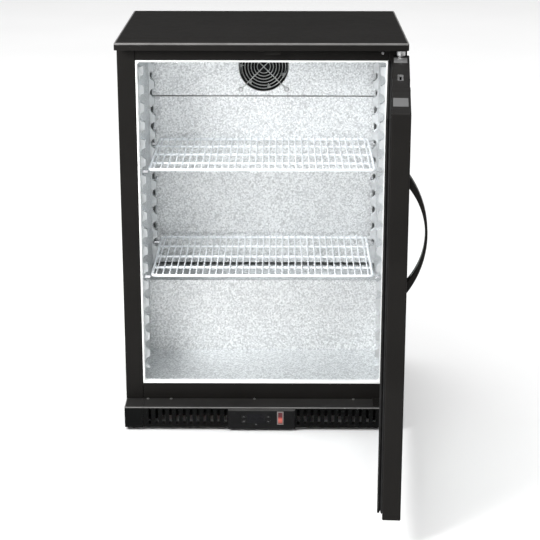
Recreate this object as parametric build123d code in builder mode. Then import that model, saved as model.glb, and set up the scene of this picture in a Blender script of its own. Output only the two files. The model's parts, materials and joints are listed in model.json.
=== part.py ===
from build123d import *
import os
from math import cos, radians, sin

os.makedirs("parts", exist_ok=True)

# Undercounter refrigerator with one glass door, shown with the door swung open.
# Millimetres. The origin is on the floor under the middle of the cabinet,
# +X is the viewer's right, +Y the back and +Z up.

# ------------------------------------------------------------------ driving dimensions
WIDTH = 600.0
HEIGHT = 850.0
DEPTH = 465.0                      # worktop, front to back
WORKTOP_T = 15.0
OVERHANG = 52.0                    # worktop and plinth stand this far in front of the posts
SKIN = 1.0                         # coated steel sheet
LINER_T = 0.8                      # embossed aluminium sheet
BEND = 2.0                         # outside radius of a sheet fold
POST_W = 38.0                      # front return of a side panel

PLINTH_Z0 = 8.0
PLINTH_Z1 = 55.0
SILL_Z1 = 91.0
HEADER_Z0 = 806.0
BASE_Z = 10.0                      # underside of the base pan

CAVITY_X = 261.0                   # half width inside the liner
CAVITY_Z0 = 95.0
CAVITY_Z1 = 804.0
CAVITY_REAR = 200.0
HUMP_Z = 260.0                     # top of the step over the machine bay
HUMP_Y0 = 22.0                     # its front face at the floor
HUMP_Y1 = 36.0                     # and at its top edge
HUMP_R = 12.0
BAY_FRONT = 66.0                   # machine bay
BAY_TOP = 224.0

DOOR_OPEN = 86.0                   # degrees open as shown
DOOR_T = 34.0
DOOR_Z0 = 60.0
DOOR_Z1 = 820.0
DOOR_FRAME_W = 52.0
HINGE_X = 285.0
HINGE_Y = -207.0
PIN_R = 5.0
RUNNING_FIT = 0.05                 # radial, at every shaft and pin

SHELF_Z = (330.0, 566.0)           # centre height of each shelf's frame wire
SHELF_X = 243.0                    # half width of a shelf
SHELF_FRONT = -153.0
SHELF_REAR = 150.0

PANEL_Y = 162.0                    # front face of the panels at the back of the cavity
FAN_Z = 733.0
FAN_R = 57.0

GAP = 0.1                          # between pieces that lie against each other

# ------------------------------------------------------------------ derived dimensions
SIDE = WIDTH / 2
FRONT = -DEPTH / 2
REAR = DEPTH / 2
POST_Y = FRONT + OVERHANG
POST_IN = SIDE - POST_W
WORKTOP_Z0 = HEIGHT - WORKTOP_T
INNER_X = SIDE - SKIN - GAP        # half width of what fits between the side panels
LINER_X = CAVITY_X + LINER_T
STRIP_D = 14.0                     # depth of the white trim round the opening
CAVITY_FRONT = POST_Y + STRIP_D + 0.5
SKIN_REAR = REAR - 2 * SKIN        # inner face of the sheets that close the back
BACK_X = INNER_X - SKIN            # half width of those sheets, clear of the side folds

# The door's own frame: hinge axis at its origin, turned as far as the door is open.
TURN = radians(DOOR_OPEN)
DOOR = Plane(origin=(HINGE_X, HINGE_Y, 0), x_dir=(cos(TURN), sin(TURN), 0), z_dir=(0, 0, 1))
DOOR_X0 = -(HINGE_X + SIDE - 3.0)  # free edge
DOOR_X1 = 12.0                     # hinge edge
DOOR_Y0 = -17.5                    # outer face
DOOR_Y1 = DOOR_Y0 + DOOR_T         # inner face
DOOR_XC = (DOOR_X0 + DOOR_X1) / 2
DOOR_ZC = (DOOR_Z0 + DOOR_Z1) / 2
DOOR_W = DOOR_X1 - DOOR_X0
DOOR_H = DOOR_Z1 - DOOR_Z0


def span(x0, x1, y0, y1, z0, z1, mode=Mode.ADD):
    """A box between two corners, in the current workplane."""
    with Locations(((x0 + x1) / 2, (y0 + y1) / 2, (z0 + z1) / 2)):
        Box(x1 - x0, y1 - y0, z1 - z0, mode=mode)


def rod(axis, x, y, z, radius, length, mode=Mode.ADD):
    """A cylinder that starts at a point and runs along +axis for its length."""
    turn = {"x": (0, 90, 0), "y": (-90, 0, 0), "z": (0, 0, 0)}[axis]
    low = (Align.CENTER, Align.CENTER, Align.MIN)
    with Locations((x, y, z)):
        Cylinder(radius, length, rotation=turn, align=low, mode=mode)


def folded_sheet(points, thickness=SKIN, bend=BEND, side=Side.LEFT):
    """Section of a folded sheet: its outer line, rounded at each bend, made thick."""
    with BuildLine() as line:
        FilletPolyline(*points, radius=bend)
        offset(amount=thickness, side=side)
    make_face(line.edges())


def door_face(y):
    """Plane parallel to the door's faces, looking at its outer side."""
    return Plane(origin=DOOR.from_local_coords(Vector(0, y, 0)), x_dir=DOOR.x_dir,
                 z_dir=-DOOR.y_dir)


def door_side(x):
    """Plane across the door's thickness, looking from the hinge edge."""
    return Plane(origin=DOOR.from_local_coords(Vector(x, 0, 0)), x_dir=DOOR.y_dir,
                 z_dir=DOOR.x_dir)


# ------------------------------------------------------------------ casing
WORKTOP_LIP = 22.0
WORKTOP_SKIN = 1.2

with BuildPart() as worktop:
    span(-SIDE, SIDE, FRONT, REAR, WORKTOP_Z0, HEIGHT)
    fillet(worktop.edges().filter_by(Axis.Z), radius=3.0)
    fillet(worktop.faces().sort_by(Axis.Z)[-1].edges(), radius=2.0)
    inset = WORKTOP_SKIN
    span(-SIDE + inset, SIDE - inset, FRONT + inset, REAR - inset,
         WORKTOP_Z0 + inset, HEIGHT - inset, Mode.SUBTRACT)
    span(-SIDE + WORKTOP_LIP, SIDE - WORKTOP_LIP, POST_Y + 16.0, REAR - WORKTOP_LIP,
         WORKTOP_Z0 - 1.0, WORKTOP_Z0 + inset, Mode.SUBTRACT)
worktop.part.label = "worktop"
export_step(worktop.part, "parts/worktop.step")

POST_RETURN = 12.0
REAR_RETURN = 15.0
side_line = [
    (-POST_IN, POST_Y + POST_RETURN),
    (-POST_IN, POST_Y),
    (-SIDE, POST_Y),
    (-SIDE, REAR),
    (-SIDE + REAR_RETURN, REAR),
]

with BuildPart() as side_panel_left:
    with BuildSketch(Plane.XY.offset(BASE_Z)):
        folded_sheet(side_line, side=Side.RIGHT)
    extrude(amount=WORKTOP_Z0 - BASE_Z)
side_panel_left.part.label = "side_panel_left"
export_step(side_panel_left.part, "parts/side_panel_left.step")

with BuildPart() as side_panel_right:
    mirror(side_panel_left.part, about=Plane.YZ)
side_panel_right.part.label = "side_panel_right"
export_step(side_panel_right.part, "parts/side_panel_right.step")

with BuildPart() as back_panel:
    span(-BACK_X, BACK_X, SKIN_REAR, REAR - SKIN, BAY_TOP + SKIN, WORKTOP_Z0 - GAP)
back_panel.part.label = "back_panel"
export_step(back_panel.part, "parts/back_panel.step")

# The rails close the front between the posts; the seam beside each post stays open.
RAIL_X = POST_IN - 0.5
RAIL_RETURN = 12.0

with BuildPart() as top_rail:
    with BuildSketch(Plane.YZ.offset(-RAIL_X)):
        folded_sheet([
            (POST_Y + RAIL_RETURN, HEADER_Z0),
            (POST_Y, HEADER_Z0),
            (POST_Y, WORKTOP_Z0 - GAP),
            (POST_Y + RAIL_RETURN, WORKTOP_Z0 - GAP),
        ], side=Side.RIGHT)
    extrude(amount=2 * RAIL_X)
top_rail.part.label = "top_rail"
export_step(top_rail.part, "parts/top_rail.step")

with BuildPart() as sill_rail:
    with BuildSketch(Plane.YZ.offset(-RAIL_X)):
        folded_sheet([
            (POST_Y + RAIL_RETURN, BASE_Z + 20.0),
            (POST_Y, BASE_Z + 20.0),
            (POST_Y, SILL_Z1),
            (POST_Y + RAIL_RETURN, SILL_Z1),
        ], side=Side.RIGHT)
    extrude(amount=2 * RAIL_X)
sill_rail.part.label = "sill_rail"
export_step(sill_rail.part, "parts/sill_rail.step")

# Base pan with a threaded insert welded over each levelling foot.
FEET = [(-250.0, -150.0), (250.0, -150.0), (-250.0, 205.0), (250.0, 205.0)]
PAN_T = 1.2
PAN_H = 14.0
PAN_FRONT = POST_Y + POST_RETURN + GAP
PAN_REAR = SKIN_REAR - GAP
STUD_R = 4.0
INSERT_R = 9.0
INSERT_H = 12.0

with BuildPart() as base_pan:
    span(-INNER_X, INNER_X, PAN_FRONT, PAN_REAR, BASE_Z, BASE_Z + PAN_H)
    span(-INNER_X + PAN_T, INNER_X - PAN_T, PAN_FRONT + PAN_T, PAN_REAR - PAN_T,
         BASE_Z + PAN_T, BASE_Z + PAN_H + 1.0, Mode.SUBTRACT)
    for foot_x, foot_y in FEET:
        rod("z", foot_x, foot_y, BASE_Z, INSERT_R, PAN_T + INSERT_H)
        rod("z", foot_x, foot_y, BASE_Z - 1.0, STUD_R + RUNNING_FIT, 20.0, Mode.SUBTRACT)
base_pan.part.label = "base_pan"
export_step(base_pan.part, "parts/base_pan.step")

# Sheet that closes the insulation from below and forms the machine bay.
FLOOR_SHEET_Z = PLINTH_Z1 + 1.0

with BuildPart() as bay_divider:
    with BuildSketch(Plane.YZ.offset(-INNER_X)):
        folded_sheet([
            (CAVITY_FRONT, FLOOR_SHEET_Z),
            (BAY_FRONT + SKIN, FLOOR_SHEET_Z),
            (BAY_FRONT + SKIN, BAY_TOP),
            (SKIN_REAR - GAP, BAY_TOP),
        ], bend=1.5)
    extrude(amount=2 * INNER_X)
bay_divider.part.label = "bay_divider"
export_step(bay_divider.part, "parts/bay_divider.step")

# ------------------------------------------------------------------ insulation and liner
# The foam fills every wall; it is divided where the walls meet.
FOAM_X0 = LINER_X + GAP
FOAM_X1 = INNER_X
FOAM_TOP = WORKTOP_Z0 - GAP
FOAM_REAR = SKIN_REAR - GAP
FOAM_FLOOR = FLOOR_SHEET_Z + SKIN + 2 * GAP
FOAM_BAY = BAY_TOP + SKIN + 2 * GAP
HUMP_FOAM = HUMP_Z - LINER_T - GAP
LINER_GAP = LINER_T + GAP

with BuildPart() as foam_insulation:
    for near, far in ((-FOAM_X1, -FOAM_X0), (FOAM_X0, FOAM_X1)):
        span(near, far, CAVITY_FRONT, BAY_FRONT - 2 * GAP, FOAM_FLOOR, FOAM_TOP)
        span(near, far, BAY_FRONT, FOAM_REAR, FOAM_BAY, FOAM_TOP)
    span(-LINER_X, LINER_X, CAVITY_FRONT, FOAM_REAR, CAVITY_Z1 + LINER_GAP, FOAM_TOP)
    span(-LINER_X, LINER_X, CAVITY_REAR + LINER_GAP, FOAM_REAR,
         HUMP_FOAM, CAVITY_Z1 + LINER_T)
    span(-LINER_X, LINER_X, BAY_FRONT, FOAM_REAR, FOAM_BAY, HUMP_FOAM - GAP)
    span(-LINER_X, LINER_X, CAVITY_FRONT, HUMP_Y0 + LINER_T, FOAM_FLOOR,
         CAVITY_Z0 - LINER_GAP)
    with BuildSketch(Plane.YZ.offset(-LINER_X)):
        with BuildLine():
            Polyline(
                (HUMP_Y0 + LINER_GAP + GAP, FOAM_FLOOR),
                (HUMP_Y0 + LINER_GAP + GAP, CAVITY_Z0),
                (HUMP_Y1 + LINER_GAP + GAP, HUMP_FOAM - GAP),
                (BAY_FRONT - 2 * GAP, HUMP_FOAM - GAP),
                (BAY_FRONT - 2 * GAP, FOAM_FLOOR),
                close=True,
            )
        face = make_face()
        step = face.vertices().filter_by_position(Axis.Y, HUMP_Y1 - 1, HUMP_Y1 + 3)
        fillet(step, radius=HUMP_R)
    extrude(amount=2 * LINER_X)
    span(-SIDE + 1.4, SIDE - 1.4, FRONT + 1.4, REAR - 1.4, WORKTOP_Z0 + 1.3, HEIGHT - 1.4)
foam_insulation.part.label = "foam_insulation"
export_step(foam_insulation.part, "parts/foam_insulation.step")


def cavity_outline(grow):
    """Side section of the cold space: floor, step over the machine bay, back and ceiling."""
    with BuildLine() as line:
        Polyline(
            (CAVITY_FRONT, CAVITY_Z0 - grow),
            (HUMP_Y0 + grow, CAVITY_Z0 - grow),
            (HUMP_Y1 + grow, HUMP_Z - grow),
            (CAVITY_REAR + grow, HUMP_Z - grow),
            (CAVITY_REAR + grow, CAVITY_Z1 + grow),
            (CAVITY_FRONT, CAVITY_Z1 + grow),
            close=True,
        )
    face = make_face(line.edges())
    step = face.vertices().filter_by_position(Axis.Y, HUMP_Y1 - 1, HUMP_Y1 + 2)
    fillet(step, radius=HUMP_R - grow)


with BuildPart() as inner_liner:
    with BuildSketch(Plane.YZ.offset(-LINER_X)):
        cavity_outline(LINER_T)
    extrude(amount=2 * LINER_X)
    with BuildSketch(Plane.YZ.offset(-CAVITY_X)):
        cavity_outline(0.0)
    extrude(amount=2 * CAVITY_X, mode=Mode.SUBTRACT)
inner_liner.part.label = "inner_liner"
export_step(inner_liner.part, "parts/inner_liner.step")

STRIP_X = CAVITY_X - 3.0
STRIP_Z0 = CAVITY_Z0 + 0.5
STRIP_Z1 = CAVITY_Z1 - 2.0
STRIP_R = 6.0

with BuildPart() as breaker_strip:
    with BuildSketch(Plane.XZ.offset(-POST_Y - 0.4)):
        with Locations((0, (SILL_Z1 + HEADER_Z0) / 2)):
            Rectangle(2 * (POST_IN - 0.2), HEADER_Z0 - SILL_Z1 - 0.4)
        with Locations((0, (STRIP_Z0 + STRIP_Z1) / 2)):
            RectangleRounded(2 * STRIP_X, STRIP_Z1 - STRIP_Z0, STRIP_R, mode=Mode.SUBTRACT)
    extrude(amount=-STRIP_D)
    fillet(breaker_strip.faces().sort_by(Axis.Y)[0].inner_wires()[0].edges(), radius=1.5)
breaker_strip.part.label = "breaker_strip"
export_step(breaker_strip.part, "parts/breaker_strip.step")

# ------------------------------------------------------------------ back of the cold space
COVER_X = CAVITY_X - 3.0
COVER_Z0 = 666.0
COVER_RETURN = 12.0
AIR_PANEL_X = 255.5
AIR_PANEL_Z0 = HUMP_Z + 5.0
AIR_PANEL_Z1 = COVER_Z0 - 2.5
PANEL_SCREWS = [(x, z) for x in (-249.5, 249.5) for z in (470.0, 790.0, 290.0)]
PANEL_SCREW_R = 2.0
FAN_HOLE_PITCH = 105.0
FAN_SCREWS = [(sx * FAN_HOLE_PITCH / 2, FAN_Z + sz * FAN_HOLE_PITCH / 2)
              for sx in (-1, 1) for sz in (-1, 1)]

with BuildPart() as fan_cover:
    span(-COVER_X, COVER_X, PANEL_Y, PANEL_Y + COVER_RETURN, COVER_Z0, CAVITY_Z1 - 0.5)
    fillet(fan_cover.edges().filter_by(Axis.Z).group_by(Axis.Y)[0], radius=1.5)
    span(-COVER_X + SKIN, COVER_X - SKIN, PANEL_Y + SKIN, PANEL_Y + COVER_RETURN,
         COVER_Z0 + SKIN, CAVITY_Z1, Mode.SUBTRACT)
    rod("y", 0, PANEL_Y - 1.0, FAN_Z, FAN_R, 3.0, Mode.SUBTRACT)
    for screw_x, screw_z in PANEL_SCREWS + FAN_SCREWS:
        rod("y", screw_x, PANEL_Y - 1.0, screw_z, PANEL_SCREW_R + GAP, 3.0, Mode.SUBTRACT)
fan_cover.part.label = "fan_cover"
export_step(fan_cover.part, "parts/fan_cover.step")

with BuildPart() as rear_air_panel:
    span(-AIR_PANEL_X, AIR_PANEL_X, PANEL_Y, PANEL_Y + COVER_RETURN, AIR_PANEL_Z0, AIR_PANEL_Z1)
    fillet(rear_air_panel.edges().filter_by(Axis.Z).group_by(Axis.Y)[0], radius=1.5)
    span(-AIR_PANEL_X + SKIN, AIR_PANEL_X - SKIN, PANEL_Y + SKIN, PANEL_Y + COVER_RETURN,
         AIR_PANEL_Z0 - 1.0, AIR_PANEL_Z1 - SKIN, Mode.SUBTRACT)
    for screw_x, screw_z in PANEL_SCREWS:
        rod("y", screw_x, PANEL_Y - 1.0, screw_z, PANEL_SCREW_R + GAP, 3.0, Mode.SUBTRACT)
rear_air_panel.part.label = "rear_air_panel"
export_step(rear_air_panel.part, "parts/rear_air_panel.step")

# Fin-and-tube evaporator behind the lower panel, below the fan.
COIL_X = 180.0
COIL_Z0 = 470.0
COIL_Z1 = 650.0
COIL_Y0 = 168.0
COIL_Y1 = 196.0
COIL_YC = (COIL_Y0 + COIL_Y1) / 2
COIL_ZC = (COIL_Z0 + COIL_Z1) / 2
COIL_H = COIL_Z1 - COIL_Z0
COIL_ROWS = 5
COIL_ROW_PITCH = 35.0
HEADER_REACH = 14.0                # upright headers past the last fin
FIN_PITCH = 12.0
FIN_T = 1.0
TUBE_R = 4.0

with BuildPart() as evaporator_coil:
    span(-COIL_X, COIL_X, COIL_Y0 + 6.0, COIL_Y1 - 6.0, COIL_Z0, COIL_Z1)
    with Locations((0, COIL_YC, COIL_ZC)):
        with GridLocations(FIN_PITCH, 1, int(2 * COIL_X / FIN_PITCH) + 1, 1):
            Box(FIN_T, COIL_Y1 - COIL_Y0, COIL_H)
    for row in range(COIL_ROWS):
        rod("x", -COIL_X - HEADER_REACH, COIL_YC, COIL_Z0 + 20.0 + COIL_ROW_PITCH * row,
            TUBE_R, 2 * (COIL_X + HEADER_REACH))
    for side in (-1, 1):
        with Locations((side * (COIL_X + HEADER_REACH - 3.0), COIL_YC, COIL_ZC)):
            Box(6.0, 6.0, COIL_H - 40.0)
evaporator_coil.part.label = "evaporator_coil"
export_step(evaporator_coil.part, "parts/evaporator_coil.step")

# ------------------------------------------------------------------ evaporator fan
FAN_FRAME_W = 119.0
FAN_Y0 = PANEL_Y + SKIN + GAP
FAN_D = 32.0
FAN_BORE_R = 56.0
BLADE_R = 54.0
HUB_R = 18.0
HUB_D = 18.0
FAN_BLADES = 7
BLADE_T = 1.6
BLADE_CHORD = 40.0
BLADE_PITCH = 24.0                 # degrees
SHAFT_R = 3.0
STRUT_D = 5.0
STRUT_W = 6.0

with BuildPart() as evaporator_fan_frame:
    span(-FAN_FRAME_W / 2, FAN_FRAME_W / 2, FAN_Y0, FAN_Y0 + FAN_D,
         FAN_Z - FAN_FRAME_W / 2, FAN_Z + FAN_FRAME_W / 2)
    fillet(evaporator_fan_frame.edges().filter_by(Axis.Y), radius=6.0)
    rod("y", 0, FAN_Y0 - 1.0, FAN_Z, FAN_BORE_R, FAN_D + 2.0, Mode.SUBTRACT)
    strut_y = FAN_Y0 + FAN_D - STRUT_D
    for strut in range(4):
        with Locations(Location((0, strut_y + STRUT_D / 2, FAN_Z), (0, 45 + 90 * strut, 0))):
            with Locations(((HUB_R + FAN_BORE_R) / 2, 0, 0)):
                Box(FAN_BORE_R - HUB_R + 6.0, STRUT_D, STRUT_W)
    rod("y", 0, strut_y, FAN_Z, HUB_R + 2.0, STRUT_D)
    rod("y", 0, FAN_Y0 - 1.0, FAN_Z, SHAFT_R + RUNNING_FIT, FAN_D + 2.0, Mode.SUBTRACT)
    for screw_x, screw_z in FAN_SCREWS:
        rod("y", screw_x, FAN_Y0 - 1.0, screw_z, PANEL_SCREW_R + GAP, 12.0, Mode.SUBTRACT)
evaporator_fan_frame.part.label = "evaporator_fan_frame"
export_step(evaporator_fan_frame.part, "parts/evaporator_fan_frame.step")


def fan_rotor(x, y, z, hub_r, tip_r, depth, blades, pitch, chord):
    """Hub and pitched blades, round at the tips, of an axial fan that turns about a line along Y."""
    rod("y", x, y, z, hub_r, depth)
    for blade in range(blades):
        with Locations(Location((x, y + depth / 2, z), (0, 360.0 / blades * blade, 0))):
            with Locations(Location(((hub_r + tip_r) / 2, 0, 0), (pitch, 0, 0))):
                Box(tip_r - hub_r + 2.0, BLADE_T, chord)
    rod("y", x, y - chord, z, tip_r, depth + 2 * chord, Mode.INTERSECT)


with BuildPart() as evaporator_fan_rotor:
    fan_rotor(0, FAN_Y0 + 4.0, FAN_Z, HUB_R, BLADE_R, HUB_D, FAN_BLADES, BLADE_PITCH, BLADE_CHORD)
    rod("y", 0, FAN_Y0 + 20.0, FAN_Z, SHAFT_R, FAN_D - 21.0)
evaporator_fan_rotor.part.label = "evaporator_fan_rotor"
export_step(evaporator_fan_rotor.part, "parts/evaporator_fan_rotor.step")

# Wire guard: rings, two crossed spokes in front of them and an eye at each spoke end.
RING_PITCH = 7.0
RING_R = [15.0 + RING_PITCH * ring for ring in range(7)]
RING_WIRE = 0.9
SPOKE_WIRE = 1.1
RING_Y = PANEL_Y - RING_WIRE - 0.3
SPOKE_Y = RING_Y - RING_WIRE - SPOKE_WIRE + 0.5
EYE_R = 4.6
EYE_REACH = FAN_HOLE_PITCH / 2 * 2 ** 0.5

with BuildPart() as evaporator_fan_guard:
    for diagonal in (45, 135):
        with Locations(Location((0, SPOKE_Y, FAN_Z), (0, diagonal, 0))):
            Cylinder(SPOKE_WIRE, 2 * (EYE_REACH - EYE_R), rotation=(0, 90, 0))
            for end in (-1, 1):
                with Locations(Location((end * EYE_REACH, 0, 0), (90, 0, 0))):
                    Torus(EYE_R, SPOKE_WIRE)
    for ring_r in RING_R:
        with Locations(Location((0, RING_Y, FAN_Z), (90, 0, 0))):
            Torus(ring_r, RING_WIRE)
evaporator_fan_guard.part.label = "evaporator_fan_guard"
export_step(evaporator_fan_guard.part, "parts/evaporator_fan_guard.step")

# ------------------------------------------------------------------ interior light
LIGHT_X = 225.0
LIGHT_Y0 = -150.0
LIGHT_Y1 = -126.0
LIGHT_SKIRT = 7.0                  # the housing's walls reach this far below the ceiling
LIGHT_BASE = 3.5
LIGHT_WALL = 1.5
LIGHT_END = 3.5
DIFFUSER_R = (8.0, 4.5)            # half width and drop of its curve

with BuildPart() as light_housing:
    span(-LIGHT_X, LIGHT_X, LIGHT_Y0, LIGHT_Y1, CAVITY_Z1 - LIGHT_SKIRT, CAVITY_Z1 - GAP)
    fillet(light_housing.edges().filter_by(Axis.Z), radius=3.0)
    span(-LIGHT_X + LIGHT_END, LIGHT_X - LIGHT_END, LIGHT_Y0 + LIGHT_WALL, LIGHT_Y1 - LIGHT_WALL,
         CAVITY_Z1 - LIGHT_SKIRT - 1.0, CAVITY_Z1 - LIGHT_BASE, Mode.SUBTRACT)
light_housing.part.label = "light_housing"
export_step(light_housing.part, "parts/light_housing.step")

with BuildPart() as light_diffuser:
    with BuildSketch(Plane.YZ.offset(-LIGHT_X + 6.0)):
        with Locations(((LIGHT_Y0 + LIGHT_Y1) / 2, CAVITY_Z1 - LIGHT_BASE - GAP)):
            Ellipse(*DIFFUSER_R)
            Rectangle(20.0, 10.0, align=(Align.CENTER, Align.MIN), mode=Mode.SUBTRACT)
    extrude(amount=2 * LIGHT_X - 12.0)
light_diffuser.part.label = "light_diffuser"
export_step(light_diffuser.part, "parts/light_diffuser.step")

# ------------------------------------------------------------------ shelves and their supports
UPRIGHT_D = 12.0
UPRIGHT_W = 14.0
UPRIGHT_Y = (-135.0, 132.0)
NOTCH_R = 11.5
NOTCH_STEPS = 6
NOTCH_PITCH = (SHELF_Z[1] - SHELF_Z[0]) / NOTCH_STEPS
CLIP_H = 5.0
FRAME_WIRE = 3.0
CLIP_TOP = -FRAME_WIRE - GAP       # from a shelf's frame wire centre
NOTCH_Z = [SHELF_Z[0] + CLIP_TOP - CLIP_H / 2 + NOTCH_PITCH * step for step in range(-5, 12)]
UPRIGHT_FEET = {UPRIGHT_Y[0]: 112.0, UPRIGHT_Y[1]: HUMP_Z + 14.0}
UPRIGHT_TOP = 786.0
TIP_X = CAVITY_X - GAP - UPRIGHT_D

with BuildPart() as shelf_uprights:
    for upright_y in UPRIGHT_Y:
        foot_z = UPRIGHT_FEET[upright_y]
        with BuildSketch(Plane.XZ.offset(-upright_y - UPRIGHT_W / 2)):
            for side in (-1, 1):
                with Locations((side * (TIP_X + UPRIGHT_D / 2), (foot_z + UPRIGHT_TOP) / 2)):
                    Rectangle(UPRIGHT_D, UPRIGHT_TOP - foot_z)
                notches = [(side * (TIP_X - 1.0), z) for z in NOTCH_Z
                           if foot_z + NOTCH_R < z < UPRIGHT_TOP - NOTCH_R]
                with Locations(notches):
                    Circle(NOTCH_R, mode=Mode.SUBTRACT)
        extrude(amount=UPRIGHT_W)
shelf_uprights.part.label = "shelf_uprights"
export_step(shelf_uprights.part, "parts/shelf_uprights.step")

with BuildPart() as shelf_clips:
    for shelf_z in SHELF_Z:
        for upright_y in UPRIGHT_Y:
            for side in (-1, 1):
                with Locations((side * (TIP_X + 1.5), upright_y, shelf_z + CLIP_TOP - CLIP_H / 2)):
                    Box(12.0, UPRIGHT_W - 2.0, CLIP_H)
shelf_clips.part.label = "shelf_clips"
export_step(shelf_clips.part, "parts/shelf_clips.step")

BAR_WIRE = 1.5
CROSS_WIRE = 2.5
SINK = 0.5                         # depth that crossing wires are welded into each other
BAR_RISE = FRAME_WIRE + BAR_WIRE - SINK
CROSS_RISE = BAR_RISE - BAR_WIRE - CROSS_WIRE + SINK
BAR_COUNT = 33
BAR_PITCH = 14.4
CROSS_Y = (-92.0, -10.0, 70.0)


def wire_shelf(z):
    """A frame wire bent round the edge, cross wires and bars welded on top of them."""
    x = SHELF_X - FRAME_WIRE
    y0 = SHELF_FRONT + FRAME_WIRE
    y1 = SHELF_REAR - FRAME_WIRE
    with BuildLine() as path:
        FilletPolyline((x, y0, z), (x, y1, z), (-x, y1, z), (-x, y0, z), radius=9.0, close=True)
    loop = path.wires()[0]
    with BuildSketch(Plane(origin=loop @ 0, z_dir=loop % 0)) as section:
        Circle(FRAME_WIRE)
    sweep(section.sketch, path=loop)
    for cross_y in CROSS_Y:
        rod("x", -x, cross_y, z + CROSS_RISE, CROSS_WIRE, 2 * x)
    with Locations((0, y0 - 1.5, z + BAR_RISE)):
        with GridLocations(BAR_PITCH, 1, BAR_COUNT, 1):
            Cylinder(BAR_WIRE, y1 - y0 + 3.0, rotation=(-90, 0, 0),
                     align=(Align.CENTER, Align.CENTER, Align.MIN))


with BuildPart() as shelf_lower:
    wire_shelf(SHELF_Z[0])
shelf_lower.part.label = "shelf_lower"
export_step(shelf_lower.part, "parts/shelf_lower.step")

with BuildPart() as shelf_upper:
    wire_shelf(SHELF_Z[1])
shelf_upper.part.label = "shelf_upper"
export_step(shelf_upper.part, "parts/shelf_upper.step")

# ------------------------------------------------------------------ machine bay
COMPRESSOR_X = -150.0
COMPRESSOR_Y = 150.0
COMPRESSOR_R = 66.0
COMPRESSOR_Z0 = 29.0
COMPRESSOR_Z1 = 186.0
SEAM_H = 6.0                       # welded seam round the shell
SEAM_Z0 = 117.0
FOOT_PLATE = (90.0, 62.0)          # half size
BOX_REACH = 22.0                   # terminal box on the shell's right side
MOUNT_R = 11.0
MOUNTS = [(COMPRESSOR_X + dx, COMPRESSOR_Y + dy) for dx in (-75.0, 75.0) for dy in (-50.0, 50.0)]

with BuildPart() as compressor:
    rod("z", COMPRESSOR_X, COMPRESSOR_Y, COMPRESSOR_Z0, COMPRESSOR_R,
        COMPRESSOR_Z1 - COMPRESSOR_Z0)
    fillet(compressor.faces().sort_by(Axis.Z)[-1].edges(), radius=30.0)
    rod("z", COMPRESSOR_X, COMPRESSOR_Y, SEAM_Z0, COMPRESSOR_R + 3.0, SEAM_H)
    span(COMPRESSOR_X - FOOT_PLATE[0], COMPRESSOR_X + FOOT_PLATE[0],
         COMPRESSOR_Y - FOOT_PLATE[1], COMPRESSOR_Y + FOOT_PLATE[1],
         COMPRESSOR_Z0 - 3.0, COMPRESSOR_Z0 + 1.0)
    span(COMPRESSOR_X + COMPRESSOR_R - 8.0, COMPRESSOR_X + COMPRESSOR_R + BOX_REACH,
         COMPRESSOR_Y - 24.0, COMPRESSOR_Y + 24.0, COMPRESSOR_Z0 + 30.0, COMPRESSOR_Z0 + 78.0)
compressor.part.label = "compressor"
export_step(compressor.part, "parts/compressor.step")

with BuildPart() as compressor_mounts:
    with BuildSketch(Plane.XY.offset(BASE_Z + PAN_T)):
        with Locations(MOUNTS):
            Circle(MOUNT_R)
    extrude(amount=COMPRESSOR_Z0 - 3.0 - GAP - BASE_Z - PAN_T, taper=8)
compressor_mounts.part.label = "compressor_mounts"
export_step(compressor_mounts.part, "parts/compressor_mounts.step")

COND_X = 160.0
COND_Z = 112.0
COND_W = 210.0
COND_H = 176.0
COND_Y0 = 88.0
COND_Y1 = 130.0
COND_FIN_PITCH = 10.0
COND_ROWS = 6
COND_ROW_PITCH = 30.0
COND_FAN_R = 78.0
COND_HUB_R = 17.0
COND_HUB_D = 20.0
COND_BLADES = 5
COND_BLADE_PITCH = 28.0            # degrees
COND_BLADE_CHORD = 34.0

with BuildPart() as condenser_coil:
    with Locations((COND_X, (COND_Y0 + COND_Y1) / 2, COND_Z)):
        Box(COND_W, COND_Y1 - COND_Y0 - 12.0, COND_H)
        with GridLocations(COND_FIN_PITCH, 1, int(COND_W / COND_FIN_PITCH), 1):
            Box(FIN_T, COND_Y1 - COND_Y0, COND_H)
    for row in range(COND_ROWS):
        rod("x", COND_X - COND_W / 2 - 12.0, (COND_Y0 + COND_Y1) / 2,
            COND_Z + COND_ROW_PITCH * (row - 2.5), TUBE_R, COND_W + 24.0)
condenser_coil.part.label = "condenser_coil"
export_step(condenser_coil.part, "parts/condenser_coil.step")

SHROUD_T = 1.5
SHROUD_Y = COND_Y1 + GAP
SHROUD_D = 16.0
MOTOR_Y0 = 170.0
MOTOR_D = 36.0
MOTOR_R = 26.0

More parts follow.
